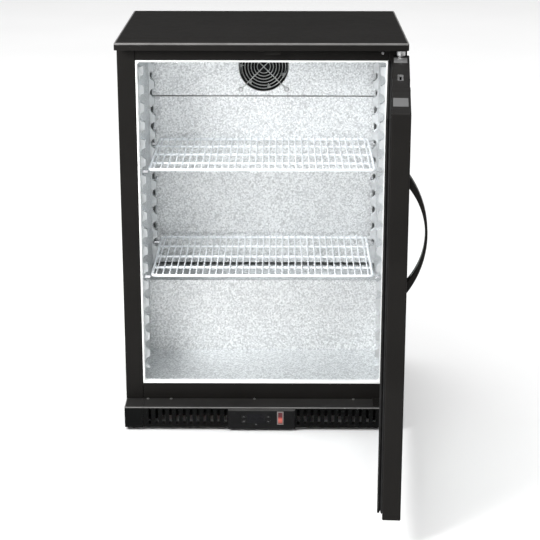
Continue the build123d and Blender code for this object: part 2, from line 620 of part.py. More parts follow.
# Shroud plate with its ring, and the motor on two arms behind it.
with BuildPart() as condenser_fan_mount:
    span(COND_X - COND_W / 2, COND_X + COND_W / 2, SHROUD_Y, SHROUD_Y + SHROUD_T,
         COND_Z - COND_H / 2, COND_Z + COND_H / 2)
    rod("y", COND_X, SHROUD_Y, COND_Z, COND_FAN_R + 5.0, SHROUD_D)
    rod("y", COND_X, SHROUD_Y - 1.0, COND_Z, COND_FAN_R + 3.0, SHROUD_D + 2.0, Mode.SUBTRACT)
    for side in (-1, 1):
        arm_x = COND_X + side * (COND_FAN_R + 14.0)
        span(arm_x - 6.0, arm_x + 6.0, SHROUD_Y, MOTOR_Y0 + 12.0, COND_Z - 6.0, COND_Z + 6.0)
    span(COND_X - COND_FAN_R - 20.0, COND_X + COND_FAN_R + 20.0, MOTOR_Y0 + 6.0,
         MOTOR_Y0 + 12.0, COND_Z - 6.0, COND_Z + 6.0)
    rod("y", COND_X, MOTOR_Y0, COND_Z, MOTOR_R, MOTOR_D)
    fillet(condenser_fan_mount.faces().sort_by(Axis.Y)[-1].edges(), radius=3.0)
    rod("y", COND_X, MOTOR_Y0 - 1.0, COND_Z, SHAFT_R + RUNNING_FIT, 20.0, Mode.SUBTRACT)
condenser_fan_mount.part.label = "condenser_fan_mount"
export_step(condenser_fan_mount.part, "parts/condenser_fan_mount.step")

with BuildPart() as condenser_fan_rotor:
    fan_rotor(COND_X, SHROUD_Y + 6.0, COND_Z, COND_HUB_R, COND_FAN_R, COND_HUB_D,
              COND_BLADES, COND_BLADE_PITCH, COND_BLADE_CHORD)
    rod("y", COND_X, SHROUD_Y + 24.0, COND_Z, SHAFT_R, MOTOR_Y0 + 14.0 - SHROUD_Y - 24.0)
condenser_fan_rotor.part.label = "condenser_fan_rotor"
export_step(condenser_fan_rotor.part, "parts/condenser_fan_rotor.step")

PIPE_R = 3.2
DRIER_R = 10.0
DRIER = (20.0, 110.0)
PIPE_ROUTES = [
    # discharge, compressor to condenser
    [(-90.0, 182.0, 150.0), (-30.0, 195.0, 150.0), (-30.0, 109.0, 187.0), (42.8, 109.0, 187.0)],
    # suction, from the insulated box back to the compressor
    [(-30.0, 222.0, 223.0), (-30.0, 222.0, 60.0), (-120.0, 222.0, 60.0), (-120.0, 211.0, 60.0)],
    # drier outlet, up into the insulated box
    [(DRIER[0], DRIER[1], 150.0), (DRIER[0], DRIER[1], 175.0), (DRIER[0], 215.0, 175.0),
     (DRIER[0], 215.0, 223.0)],
]

# Copper circuit in the bay: three pipes and the filter drier.
with BuildPart() as refrigerant_pipes:
    for route in PIPE_ROUTES:
        with BuildLine() as path:
            FilletPolyline(*route, radius=7.0)
        run = path.wires()[0]
        with BuildSketch(Plane(origin=run @ 0, z_dir=run % 0)) as section:
            Circle(PIPE_R)
        sweep(section.sketch, path=run)
    rod("z", DRIER[0], DRIER[1], 60.0, DRIER_R, 90.0)
    drier_rims = refrigerant_pipes.edges().filter_by(GeomType.CIRCLE)
    fillet(drier_rims.filter_by(lambda rim: abs(rim.radius - DRIER_R) < GAP), radius=4.0)
refrigerant_pipes.part.label = "refrigerant_pipes"
export_step(refrigerant_pipes.part, "parts/refrigerant_pipes.step")

TRAY_X0 = COMPRESSOR_X - 92.0
TRAY_X1 = COMPRESSOR_X + 92.0
TRAY_Y0 = 76.0
TRAY_Y1 = 208.0
TRAY_Z0 = COMPRESSOR_Z1 + GAP
TRAY_Z1 = 212.0
TRAY_T = 2.0
TRAY_R = 10.0

with BuildPart() as drip_tray:
    with BuildSketch(Plane.XY.offset(TRAY_Z0)):
        with Locations((COMPRESSOR_X, (TRAY_Y0 + TRAY_Y1) / 2)):
            RectangleRounded(TRAY_X1 - TRAY_X0, TRAY_Y1 - TRAY_Y0, TRAY_R)
    extrude(amount=TRAY_Z1 - TRAY_Z0)
    rim = drip_tray.faces().sort_by(Axis.Z)[-1]
    offset(amount=-TRAY_T, openings=rim)
drip_tray.part.label = "drip_tray"
export_step(drip_tray.part, "parts/drip_tray.step")

GLAND_X = -255.0
GLAND_Z = 60.0
GLAND_R = 9.0
CORD_R = 4.2
REAR_SLOT = (190.0, 6.0)
REAR_SLOT_PITCH = 14.0
REAR_SLOTS = [(slot_x, REAR - 1.5 * SKIN, COND_Z + REAR_SLOT_PITCH * row)
              for slot_x in (COND_X, COMPRESSOR_X + 20.0) for row in range(-5, 6)]

with BuildPart() as rear_cover:
    span(-BACK_X, BACK_X, SKIN_REAR, REAR - SKIN, BASE_Z + PAN_H + GAP, BAY_TOP + SKIN - GAP)
    with Locations(REAR_SLOTS):
        Box(REAR_SLOT[0], 4.0, REAR_SLOT[1], mode=Mode.SUBTRACT)
    rod("y", GLAND_X, REAR - 5.0, GLAND_Z, GLAND_R, 6.0, Mode.SUBTRACT)
rear_cover.part.label = "rear_cover"
export_step(rear_cover.part, "parts/rear_cover.step")

with BuildPart() as cord_gland:
    rod("y", GLAND_X, SKIN_REAR - 10.0, GLAND_Z, GLAND_R - GAP, 12.0)
    rod("y", GLAND_X, REAR - SKIN, GLAND_Z, GLAND_R + 3.0, SKIN)
    rod("y", GLAND_X, SKIN_REAR - 6.0, GLAND_Z, GLAND_R + 3.0, 6.0 - GAP)
    rod("y", GLAND_X, SKIN_REAR - 12.0, GLAND_Z, CORD_R, 20.0, Mode.SUBTRACT)
cord_gland.part.label = "cord_gland"
export_step(cord_gland.part, "parts/cord_gland.step")

# ------------------------------------------------------------------ plinth and controls
GRILLE_X = 259.0
GRILLE_T = 1.5
GRILLE_RETURN = 30.0
SLOT_W = 6.0
SLOT_H = 36.0
SLOT_PITCH = 15.0
SLOT_COUNT = 12                    # each side of the control panel
SLOT_Z = 33.0
PANEL_X0 = -73.5
PANEL_X1 = 72.5
PANEL_Z0 = 5.0
PANEL_Z1 = 52.0
PANEL_FRONT = FRONT - 4.0
SLOT_XS = [side * (PANEL_X1 + 7.0 + SLOT_PITCH * step)
           for side in (-1, 1) for step in range(SLOT_COUNT)]

with BuildPart() as kick_grille:
    with BuildSketch(Plane.YZ.offset(-GRILLE_X)):
        folded_sheet([
            (FRONT + GRILLE_RETURN, PLINTH_Z0),
            (FRONT, PLINTH_Z0),
            (FRONT, PLINTH_Z1),
            (POST_Y - GAP, PLINTH_Z1),
        ], thickness=GRILLE_T, bend=2.5, side=Side.RIGHT)
    extrude(amount=2 * GRILLE_X)
    with Locations([(x, FRONT, SLOT_Z) for x in SLOT_XS]):
        Box(SLOT_W, 10.0, SLOT_H, mode=Mode.SUBTRACT)
    span(PANEL_X0 + 6.0, PANEL_X1 - 6.0, FRONT - 5.0, FRONT + 5.0, PLINTH_Z0 + 4.0,
         PLINTH_Z1 - 6.0, Mode.SUBTRACT)
kick_grille.part.label = "kick_grille"
export_step(kick_grille.part, "parts/kick_grille.step")

with BuildPart() as plinth_corners:
    span(GRILLE_X + 0.6, SIDE, FRONT, POST_Y - GAP, PLINTH_Z0, PLINTH_Z1)
    upright = plinth_corners.edges().filter_by(Axis.Z).group_by(Axis.Y)[0]
    fillet(upright.sort_by(Axis.X)[-1], radius=3.0)
    brow = plinth_corners.faces().sort_by(Axis.Z)[-1].edges().filter_by(Axis.X)
    fillet(brow.sort_by(Axis.Y)[0], radius=2.0)
    span(GRILLE_X - 1.0, SIDE - GRILLE_T, FRONT + GRILLE_T, POST_Y, PLINTH_Z0 - 1.0,
         PLINTH_Z1 - GRILLE_T, Mode.SUBTRACT)
    mirror(about=Plane.YZ)
plinth_corners.part.label = "plinth_corners"
export_step(plinth_corners.part, "parts/plinth_corners.step")

PANEL_WALL = 4.0
BOX_WALL = 2.0
BOX_REAR = -192.0
WINDOW = (-32.0, 6.5, 21.0, 42.0)
LED = (-12.8, 17.0)
LED_R = 1.6
BUTTON_W = 9.0
BUTTON_H = 7.5
BUTTON_CLEAR = 0.15
BUTTON_PROUD = 0.9
BUTTON_FLANGE = 1.2
BUTTONS = [(-39.5, 35.0), (-39.5, 24.5), (13.8, 35.0), (13.8, 24.5)]
ROCKER_X = 40.0
ROCKER_Z = 32.0
ROCKER_W = 12.4
ROCKER_H = 28.6
ROCKER_RIM = 0.8
PADDLE_W = 9.0
PADDLE_H = 24.2
PADDLE_CLEAR = 0.25
ROCKER_PIN_R = 1.5
ROCKER_PIN_Y = PANEL_FRONT + 3.5

with BuildPart() as control_housing:
    span(PANEL_X0, PANEL_X1, PANEL_FRONT, PANEL_FRONT + PANEL_WALL - GAP, PANEL_Z0, PANEL_Z1)
    chamfer(control_housing.faces().sort_by(Axis.Y)[0].edges(), length=2.4)
    span(PANEL_X0 + 6.5, PANEL_X1 - 6.5, FRONT - 1.0, BOX_REAR, PLINTH_Z0 + 4.5, PLINTH_Z1 - 6.5)
    span(PANEL_X0 + 6.5 + BOX_WALL, PANEL_X1 - 6.5 - BOX_WALL, FRONT - GAP, BOX_REAR + 1.0,
         PLINTH_Z0 + 4.5 + BOX_WALL, PLINTH_Z1 - 6.5 - BOX_WALL, Mode.SUBTRACT)
    span(WINDOW[0], WINDOW[1], PANEL_FRONT - 1.0, PANEL_FRONT + 1.0, WINDOW[2], WINDOW[3],
         Mode.SUBTRACT)
    rod("y", LED[0], PANEL_FRONT - 1.0, LED[1], LED_R + GAP, 2.5, Mode.SUBTRACT)
    for button_x, button_z in BUTTONS:
        with Locations((button_x, PANEL_FRONT, button_z)):
            Box(BUTTON_W + 2 * BUTTON_CLEAR, 12.0, BUTTON_H + 2 * BUTTON_CLEAR,
                mode=Mode.SUBTRACT)
    with Locations((ROCKER_X, PANEL_FRONT, ROCKER_Z)):
        Box(ROCKER_W + 2 * GAP, 12.0, ROCKER_H + 2 * GAP, mode=Mode.SUBTRACT)
control_housing.part.label = "control_housing"
export_step(control_housing.part, "parts/control_housing.step")

with BuildPart() as display_window:
    span(WINDOW[0] + GAP, WINDOW[1] - GAP, PANEL_FRONT - 0.2, PANEL_FRONT + 1.0 - GAP,
         WINDOW[2] + GAP, WINDOW[3] - GAP)
    rod("y", LED[0], PANEL_FRONT - 0.6, LED[1], LED_R, 2.0)
display_window.part.label = "display_window"
export_step(display_window.part, "parts/display_window.step")

for number, (button_x, button_z) in enumerate(BUTTONS, start=1):
    with BuildPart() as button:
        with Locations((button_x, PANEL_FRONT + (PANEL_WALL - BUTTON_PROUD) / 2, button_z)):
            Box(BUTTON_W, PANEL_WALL + BUTTON_PROUD, BUTTON_H)
        fillet(button.faces().sort_by(Axis.Y)[0].edges(), radius=0.8)
        with Locations((button_x, FRONT + BUTTON_FLANGE / 2, button_z)):
            Box(BUTTON_W + 2.0, BUTTON_FLANGE, BUTTON_H + 2.0)
        rod("y", button_x, FRONT + 1.0, button_z, 1.8, 4.0)
    button.part.label = f"button_{number}"
    export_step(button.part, f"parts/button_{number}.step")

with BuildPart() as rocker_bezel:
    with Locations((ROCKER_X, PANEL_FRONT - ROCKER_RIM / 2, ROCKER_Z)):
        Box(ROCKER_W + 1.6, ROCKER_RIM, ROCKER_H + 2.0)
    fillet(rocker_bezel.faces().sort_by(Axis.Y)[0].edges(), radius=0.4)
    with Locations((ROCKER_X, PANEL_FRONT + 7.0, ROCKER_Z)):
        Box(ROCKER_W, 14.0, ROCKER_H)
    with Locations((ROCKER_X, PANEL_FRONT + 5.0, ROCKER_Z)):
        Box(PADDLE_W + 2 * PADDLE_CLEAR, 14.0, PADDLE_H + 2 * PADDLE_CLEAR + 1.0,
            mode=Mode.SUBTRACT)
    rod("x", ROCKER_X - PADDLE_W / 2 - 1.4, ROCKER_PIN_Y, ROCKER_Z,
        ROCKER_PIN_R + RUNNING_FIT, PADDLE_W + 2.8, Mode.SUBTRACT)
rocker_bezel.part.label = "rocker_bezel"
export_step(rocker_bezel.part, "parts/rocker_bezel.step")

# The paddle's two flats meet over its pin; the upper one is pressed in.
ROCKER_TILT = radians(9.0)
PADDLE_HALF = PADDLE_H / 2

with BuildPart() as rocker_paddle:
    lean = Plane(origin=(ROCKER_X - PADDLE_W / 2, ROCKER_PIN_Y, ROCKER_Z),
                 x_dir=(0, cos(ROCKER_TILT), -sin(ROCKER_TILT)), z_dir=(1, 0, 0))
    with BuildSketch(lean):
        with BuildLine():
            Polyline(
                (-3.0, 0),
                (-5.2, PADDLE_HALF - 0.6),
                (1.0, PADDLE_HALF - 1.8),
                (3.4, 3.0),
                (3.4, -3.0),
                (1.0, -PADDLE_HALF + 1.8),
                (-5.2, -PADDLE_HALF + 0.6),
                close=True,
            )
        make_face()
    extrude(amount=PADDLE_W)
    rod("x", ROCKER_X - PADDLE_W / 2 - 1.2, ROCKER_PIN_Y, ROCKER_Z, ROCKER_PIN_R, PADDLE_W + 2.4)
rocker_paddle.part.label = "rocker_paddle"
export_step(rocker_paddle.part, "parts/rocker_paddle.step")

# ------------------------------------------------------------------ hinges and lock strike
PLATE_T = 2.5
PLATE_X0 = 242.0
PLATE_X1 = SIDE - 2.0
PLATE_Y0 = FRONT + 8.0
COLLAR_R = 9.0
PLATE_TOP = WORKTOP_Z0 - GAP
PLATE_LOW = PLINTH_Z1 + GAP
BUSH_R = 7.5
BUSH_L = 20.0

with BuildPart() as hinge_plates:
    for low in (PLATE_TOP - PLATE_T, PLATE_LOW):
        with BuildSketch(Plane.XY.offset(low)):
            with Locations(((PLATE_X0 + PLATE_X1) / 2, (PLATE_Y0 + POST_Y - GAP) / 2)):
                Rectangle(PLATE_X1 - PLATE_X0, POST_Y - GAP - PLATE_Y0)
            with Locations((PLATE_X0 + 12.0, HINGE_Y)):
                Circle(PANEL_SCREW_R + GAP, mode=Mode.SUBTRACT)
        extrude(amount=PLATE_T)
    fillet(hinge_plates.edges().filter_by(Axis.Z).group_by(Axis.Y)[0], radius=6.0)
hinge_plates.part.label = "hinge_plates"
export_step(hinge_plates.part, "parts/hinge_plates.step")

with BuildPart() as hinge_pins:
    top_plate = PLATE_TOP - PLATE_T - GAP
    rod("z", HINGE_X, HINGE_Y, DOOR_Z1 - BUSH_L + 1.0, PIN_R, top_plate - DOOR_Z1 + BUSH_L - 1.0)
    rod("z", HINGE_X, HINGE_Y, DOOR_Z1 + 1.0, COLLAR_R, top_plate - DOOR_Z1 - 1.0)
    low_plate = PLATE_LOW + PLATE_T + GAP
    rod("z", HINGE_X, HINGE_Y, low_plate, PIN_R, DOOR_Z0 + BUSH_L - 1.0 - low_plate)
    rod("z", HINGE_X, HINGE_Y, low_plate, COLLAR_R, DOOR_Z0 - 0.3 - low_plate)
hinge_pins.part.label = "hinge_pins"
export_step(hinge_pins.part, "parts/hinge_pins.step")

LOCK_X = -262.0                    # from the hinge axis, along the door
LOCK_Z = 797.0
CAM_Y = 0.8
CAM_T = 3.0
CAM_L = 28.0
CAM_W = 9.0
STRIKE_X = HINGE_X + LOCK_X
STRIKE_Y = HINGE_Y + CAM_Y - CAM_T / 2 - 3.0

with BuildPart() as lock_strike:
    span(STRIKE_X - 16.0, STRIKE_X + 16.0, STRIKE_Y - 2.0, STRIKE_Y + 14.0,
         WORKTOP_Z0 - GAP - 1.5, WORKTOP_Z0 - GAP)
    span(STRIKE_X - 16.0, STRIKE_X + 16.0, STRIKE_Y - 2.0, STRIKE_Y, DOOR_Z1 + 3.0,
         WORKTOP_Z0 - GAP)
lock_strike.part.label = "lock_strike"
export_step(lock_strike.part, "parts/lock_strike.step")

# ------------------------------------------------------------------ door
# Every piece of the door is drawn shut in the door's own frame.
OPEN_W = DOOR_W - 2 * DOOR_FRAME_W
OPEN_H = DOOR_H - 2 * DOOR_FRAME_W
GLASS_GRIP = 9.0
PANE_T = 4.0
PANE_GAP = 12.0
POCKET_Y0 = DOOR_Y0 + 3.0
UNIT_T = 2 * PANE_T + PANE_GAP
UNIT_Y0 = POCKET_Y0 + 0.2
UNIT_W = OPEN_W + 2 * GLASS_GRIP - 1.0
UNIT_H = OPEN_H + 2 * GLASS_GRIP - 1.0
MITRE_W = 0.8
MITRE_D = 0.5
INSERTS = [(-80.0, -20.0), (DOOR_X0 + 64.0, DOOR_X0 + 140.0)]
INSERT_Y = (DOOR_Y0 + 4.5, DOOR_Y1 - 2.5)
INSERT_T = 1.2
NOTCH = (-338.0, -253.0)
NOTCH_D = 3.0
NOTCH_H = 14.0
BARREL_R = 8.0
BARREL_REAR = CAM_Y - CAM_T / 2
FACEPLATE = (-272.0, -212.0)
FACEPLATE_W = 11.0
FACEPLATE_T = 1.2
HANDLE_X = DOOR_X0 + 33.0
HANDLE_W = 22.0
HANDLE_Z0 = 493.0
HANDLE_Z1 = 706.0
HANDLE_REACH = 34.0
HANDLE_T = 4.5
HANDLE_PAD = 22.0
HANDLE_SCREW_Z = (HANDLE_Z0 + 10.0, HANDLE_Z1 - 10.0)
SCREW_R = 2.5

with BuildPart(DOOR) as door_frame:
    span(DOOR_X0, DOOR_X1, DOOR_Y0, DOOR_Y1, DOOR_Z0, DOOR_Z1)
    fillet(door_frame.edges(), radius=2.5)
    with Locations((DOOR_XC, 0, DOOR_ZC)):
        Box(OPEN_W, 2 * DOOR_T, OPEN_H, mode=Mode.SUBTRACT)
    with Locations((DOOR_XC, POCKET_Y0 + (UNIT_T + 0.4) / 2, DOOR_ZC)):
        Box(OPEN_W + 2 * GLASS_GRIP, UNIT_T + 0.4, OPEN_H + 2 * GLASS_GRIP, mode=Mode.SUBTRACT)
    # mitre lines across both faces at the four corners
    for corner_x, inward_x in ((DOOR_X0, 1), (DOOR_X1, -1)):
        for corner_z, inward_z in ((DOOR_Z0, 1), (DOOR_Z1, -1)):
            middle_x = corner_x + inward_x * DOOR_FRAME_W / 2
            middle_z = corner_z + inward_z * DOOR_FRAME_W / 2
            slope = -45 * inward_x * inward_z
            for face_y in (DOOR_Y0, DOOR_Y1):
                with Locations(Location((middle_x, face_y, middle_z), (0, slope, 0))):
                    Box(2 * DOOR_FRAME_W, 2 * MITRE_D, MITRE_W, mode=Mode.SUBTRACT)
    for insert_x0, insert_x1 in INSERTS:
        span(insert_x0, insert_x1, INSERT_Y[0], INSERT_Y[1], DOOR_Z1 - INSERT_T, DOOR_Z1 + 1.0,
             Mode.SUBTRACT)
    # relief in the outer top edge over the lock
    span(NOTCH[0], NOTCH[1], DOOR_Y0 - 1.0, DOOR_Y0 + NOTCH_D, DOOR_Z1 - NOTCH_H, DOOR_Z1 + 1.0,
         Mode.SUBTRACT)
    # lock: barrel bore, cam slot and the seat of the faceplate
    rod("y", LOCK_X, DOOR_Y0 - 1.0, LOCK_Z, BARREL_R + RUNNING_FIT, BARREL_REAR - DOOR_Y0 + 1.2,
        Mode.SUBTRACT)
    span(LOCK_X - 11.0, LOCK_X + CAM_L + 6.0, BARREL_REAR - 0.3, BARREL_REAR + CAM_T + 0.3,
         LOCK_Z - 11.0, DOOR_Z1 + 1.0, Mode.SUBTRACT)
    span(FACEPLATE[0], FACEPLATE[1], CAM_Y - FACEPLATE_W / 2, CAM_Y + FACEPLATE_W / 2,
         DOOR_Z1 - FACEPLATE_T, DOOR_Z1 + 1.0, Mode.SUBTRACT)
    # hinge bushes
    rod("z", 0, 0, DOOR_Z1 - BUSH_L, BUSH_R, BUSH_L + 1.0, Mode.SUBTRACT)
    rod("z", 0, 0, DOOR_Z0 - 1.0, BUSH_R, BUSH_L + 1.0, Mode.SUBTRACT)
    # handle screws, sunk in the inner face
    for screw_z in HANDLE_SCREW_Z:
        rod("y", HANDLE_X, DOOR_Y0 - 1.0, screw_z, SCREW_R + GAP, DOOR_T + 2.0, Mode.SUBTRACT)
        rod("y", HANDLE_X, DOOR_Y1 - 2.6, screw_z, SCREW_R + 1.8, 4.0, Mode.SUBTRACT)
door_frame.part.label = "door_frame"
export_step(door_frame.part, "parts/door_frame.step")

with BuildPart(DOOR) as door_glass:
    for pane_y in (UNIT_Y0, UNIT_Y0 + PANE_T + PANE_GAP):
        with Locations((DOOR_XC, pane_y + PANE_T / 2, DOOR_ZC)):
            Box(UNIT_W, PANE_T, UNIT_H)
door_glass.part.label = "door_glass"
export_step(door_glass.part, "parts/door_glass.step")

with BuildPart(DOOR) as glass_spacer:
    with Locations((DOOR_XC, UNIT_Y0 + PANE_T + PANE_GAP / 2, DOOR_ZC)):
        Box(UNIT_W - 2.0, PANE_GAP, UNIT_H - 2.0)
        Box(UNIT_W - 22.0, PANE_GAP, UNIT_H - 22.0, mode=Mode.SUBTRACT)
glass_spacer.part.label = "glass_spacer"
export_step(glass_spacer.part, "parts/glass_spacer.step")

GASKET_INSET = 10.0
GASKET_W = 18.0
GASKET_T = 9.4
GASKET_BASE = 3.5
BULB_W = 12.0
GASKET_XW = DOOR_W - 2 * GASKET_INSET
GASKET_ZH = DOOR_H - 2 * GASKET_INSET

# A flat base in the door's groove line and a soft bulb in front of it.
with BuildPart(DOOR) as door_gasket:
    with Locations((DOOR_XC, DOOR_Y1 + GASKET_BASE / 2, DOOR_ZC)):
        Box(GASKET_XW, GASKET_BASE, GASKET_ZH)
        Box(GASKET_XW - 2 * GASKET_W, GASKET_BASE, GASKET_ZH - 2 * GASKET_W, mode=Mode.SUBTRACT)
    with BuildSketch(door_face(DOOR_Y1 + GASKET_T)):
        with Locations((DOOR_XC, DOOR_ZC)):
            RectangleRounded(GASKET_XW, GASKET_ZH, 4.0)
            Rectangle(GASKET_XW - 2 * BULB_W, GASKET_ZH - 2 * BULB_W, mode=Mode.SUBTRACT)
    extrude(amount=GASKET_T - GASKET_BASE)
    fillet(door_gasket.faces().sort_by(Axis(DOOR.origin, DOOR.y_dir))[-1].edges(), radius=2.5)
door_gasket.part.label = "door_gasket"
export_step(door_gasket.part, "parts/door_gasket.step")

with BuildPart(DOOR) as door_handle:
    with BuildSketch(door_side(HANDLE_X - HANDLE_W / 2)):
        mid_z = (HANDLE_Z0 + HANDLE_Z1) / 2
        with BuildLine():
            ThreePointArc((DOOR_Y0, HANDLE_Z0), (DOOR_Y0 - HANDLE_REACH, mid_z),
                          (DOOR_Y0, HANDLE_Z1))
            Line((DOOR_Y0, HANDLE_Z1), (DOOR_Y0, HANDLE_Z1 - HANDLE_PAD))
            ThreePointArc((DOOR_Y0, HANDLE_Z1 - HANDLE_PAD),
                          (DOOR_Y0 - HANDLE_REACH + HANDLE_T, mid_z),
                          (DOOR_Y0, HANDLE_Z0 + HANDLE_PAD))
            Line((DOOR_Y0, HANDLE_Z0 + HANDLE_PAD), (DOOR_Y0, HANDLE_Z0))
        make_face()
    extrude(amount=HANDLE_W)
    fillet(door_handle.edges().filter_by(GeomType.CIRCLE), radius=1.5)
    for screw_z in HANDLE_SCREW_Z:
        rod("y", HANDLE_X, DOOR_Y0 - 3.0, screw_z, SCREW_R + GAP, 4.0, Mode.SUBTRACT)
door_handle.part.label = "door_handle"
export_step(door_handle.part, "parts/door_handle.step")

with BuildPart(DOOR) as handle_screws:
    for screw_z in HANDLE_SCREW_Z:
        rod("y", HANDLE_X, DOOR_Y0 - 2.8, screw_z, SCREW_R, DOOR_T + 2.0)
        rod("y", HANDLE_X, DOOR_Y1 - 2.4, screw_z, SCREW_R + 1.6, 2.2)
handle_screws.part.label = "handle_screws"
export_step(handle_screws.part, "parts/handle_screws.step")

with BuildPart(DOOR) as door_inserts:
    for insert_x0, insert_x1 in INSERTS:
        span(insert_x0 + GAP, insert_x1 - GAP, INSERT_Y[0] + GAP, INSERT_Y[1] - GAP,
             DOOR_Z1 - INSERT_T + GAP, DOOR_Z1 + 0.2)
door_inserts.part.label = "door_inserts"
export_step(door_inserts.part, "parts/door_inserts.step")

with BuildPart(DOOR) as lock_faceplate:
    span(FACEPLATE[0] + GAP, FACEPLATE[1] - GAP, CAM_Y - FACEPLATE_W / 2 + GAP,
         CAM_Y + FACEPLATE_W / 2 - GAP, DOOR_Z1 - FACEPLATE_T + GAP, DOOR_Z1 + 0.2)
    span(LOCK_X - 6.0, LOCK_X + CAM_L + 4.0, BARREL_REAR - 0.6, BARREL_REAR + CAM_T + 0.6,
         DOOR_Z1 - 3.0, DOOR_Z1 + 1.0, Mode.SUBTRACT)
lock_faceplate.part.label = "lock_faceplate"
export_step(lock_faceplate.part, "parts/lock_faceplate.step")

# Barrel with its key slot and the cam on its end, lying unlocked.
with BuildPart(DOOR) as lock_cylinder:
    rod("y", LOCK_X, DOOR_Y0 - 1.5, LOCK_Z, BARREL_R, BARREL_REAR - DOOR_Y0 + 1.5)
    fillet(lock_cylinder.faces().sort_by(Axis(DOOR.origin, -DOOR.y_dir))[-1].edges(), radius=0.8)
    with Locations((LOCK_X, DOOR_Y0 - 1.5, LOCK_Z)):
        Box(1.6, 6.0, 8.0, mode=Mode.SUBTRACT)
    with Locations((LOCK_X + CAM_L / 2 - 2.0, CAM_Y, LOCK_Z)):
        Box(CAM_L + 4.0, CAM_T, CAM_W)
lock_cylinder.part.label = "lock_cylinder"
export_step(lock_cylinder.part, "parts/lock_cylinder.step")

with BuildPart(DOOR) as hinge_bushes:
    for bush_z in (DOOR_Z1 - BUSH_L, DOOR_Z0 + GAP):
        rod("z", 0, 0, bush_z, BUSH_R, BUSH_L - GAP)
        rod("z", 0, 0, bush_z - 1.0, PIN_R + RUNNING_FIT, BUSH_L + 2.0, Mode.SUBTRACT)
hinge_bushes.part.label = "hinge_bushes"
export_step(hinge_bushes.part, "parts/hinge_bushes.step")

# ------------------------------------------------------------------ levelling feet
SOLE_R = 18.0
SOLE_H = 6.5

for number, (foot_x, foot_y) in enumerate(FEET, start=1):
    with BuildPart() as levelling_foot:
        rod("z", foot_x, foot_y, 0, SOLE_R, SOLE_H)
        fillet(levelling_foot.faces().sort_by(Axis.Z)[-1].edges(), radius=2.0)
        with BuildSketch(Plane.XY.offset(SOLE_H)):
            with Locations((foot_x, foot_y)):
                RegularPolygon(7.5, 6)
        extrude(amount=BASE_Z - GAP - SOLE_H)
        rod("z", foot_x, foot_y, SOLE_H, STUD_R, 30.0)
    levelling_foot.part.label = f"levelling_foot_{number}"
    export_step(levelling_foot.part, f"parts/levelling_foot_{number}.step")

# ------------------------------------------------------------------ screws
LEDGE_SCREWS = [(x, POST_Y - 4.0) for x in (-252.0, -201.0, -17.0, 201.0)]
LEDGE_SCREW_R = 2.6
RAIL_SCREW = (250.0, 822.0)
HEAD_H = 1.6

with BuildPart() as casing_screws:
    for screw_x, screw_y in LEDGE_SCREWS:
        rod("z", screw_x, screw_y, PLINTH_Z1, LEDGE_SCREW_R, HEAD_H)
    rod("y", RAIL_SCREW[0], POST_Y - HEAD_H, RAIL_SCREW[1], LEDGE_SCREW_R, HEAD_H)
    for screw_x, screw_z in PANEL_SCREWS:
        rod("y", screw_x, PANEL_Y - HEAD_H, screw_z, 3.6, HEAD_H)
        rod("y", screw_x, PANEL_Y - HEAD_H, screw_z, PANEL_SCREW_R, 10.0)
    for screw_x, screw_z in FAN_SCREWS:
        rod("y", screw_x, SPOKE_Y - 1.2, screw_z, EYE_R - SPOKE_WIRE - GAP, PANEL_Y - SPOKE_Y + 1.2)
        rod("y", screw_x, PANEL_Y - 1.0, screw_z, PANEL_SCREW_R, 11.0)
    for screw_x in (-280.0, 280.0):
        for screw_z in (40.0, 210.0, 240.0, 820.0):
            rod("y", screw_x, REAR - SKIN, screw_z, 3.0, SKIN)
casing_screws.part.label = "casing_screws"
export_step(casing_screws.part, "parts/casing_screws.step")
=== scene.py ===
import json
import math

import bmesh
import bpy
from mathutils import Matrix, Vector


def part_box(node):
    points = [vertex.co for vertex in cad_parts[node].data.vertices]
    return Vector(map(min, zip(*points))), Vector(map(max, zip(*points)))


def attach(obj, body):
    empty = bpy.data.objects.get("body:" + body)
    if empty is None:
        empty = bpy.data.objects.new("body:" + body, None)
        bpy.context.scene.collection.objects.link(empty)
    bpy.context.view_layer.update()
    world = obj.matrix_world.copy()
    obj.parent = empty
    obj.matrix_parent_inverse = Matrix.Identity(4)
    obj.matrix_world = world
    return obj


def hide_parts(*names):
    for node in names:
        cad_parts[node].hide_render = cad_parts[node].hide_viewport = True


# Undercounter refrigerator with its glass door open: finishes, small detail, light and camera.
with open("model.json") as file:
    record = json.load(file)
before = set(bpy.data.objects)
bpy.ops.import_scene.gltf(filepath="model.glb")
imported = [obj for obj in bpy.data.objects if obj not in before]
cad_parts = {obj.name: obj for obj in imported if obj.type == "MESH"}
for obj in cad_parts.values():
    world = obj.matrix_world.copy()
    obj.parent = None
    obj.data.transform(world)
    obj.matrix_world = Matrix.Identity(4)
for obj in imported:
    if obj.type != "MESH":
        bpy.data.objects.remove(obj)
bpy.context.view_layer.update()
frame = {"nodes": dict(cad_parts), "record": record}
nodes = frame["nodes"]


# ------------------------------------------------------------------ shader building
SOCKETS = {"ior": "IOR", "specular_ior_level": "Specular IOR Level"}


def shader(name, **values):
    """A new material and its Principled shader, with even values set on the shader itself."""
    material = bpy.data.materials.new(name)
    material.use_nodes = True
    principled = material.node_tree.nodes["Principled BSDF"]
    for key, value in values.items():
        socket = principled.inputs[SOCKETS.get(key, key.replace("_", " ").title())]
        socket.default_value = (*value, 1.0) if isinstance(value, tuple) else value
    return material


def node(material, kind, inputs=None, **settings):
    """Add a shader node; inputs are values or the outputs of other nodes."""
    tree = material.node_tree
    made = tree.nodes.new("ShaderNode" + kind)
    for key, value in settings.items():
        setattr(made, key, value)
    for key, value in (inputs or {}).items():
        if isinstance(value, bpy.types.NodeSocket):
            tree.links.new(value, made.inputs[key])
        else:
            made.inputs[key].default_value = value
    return made


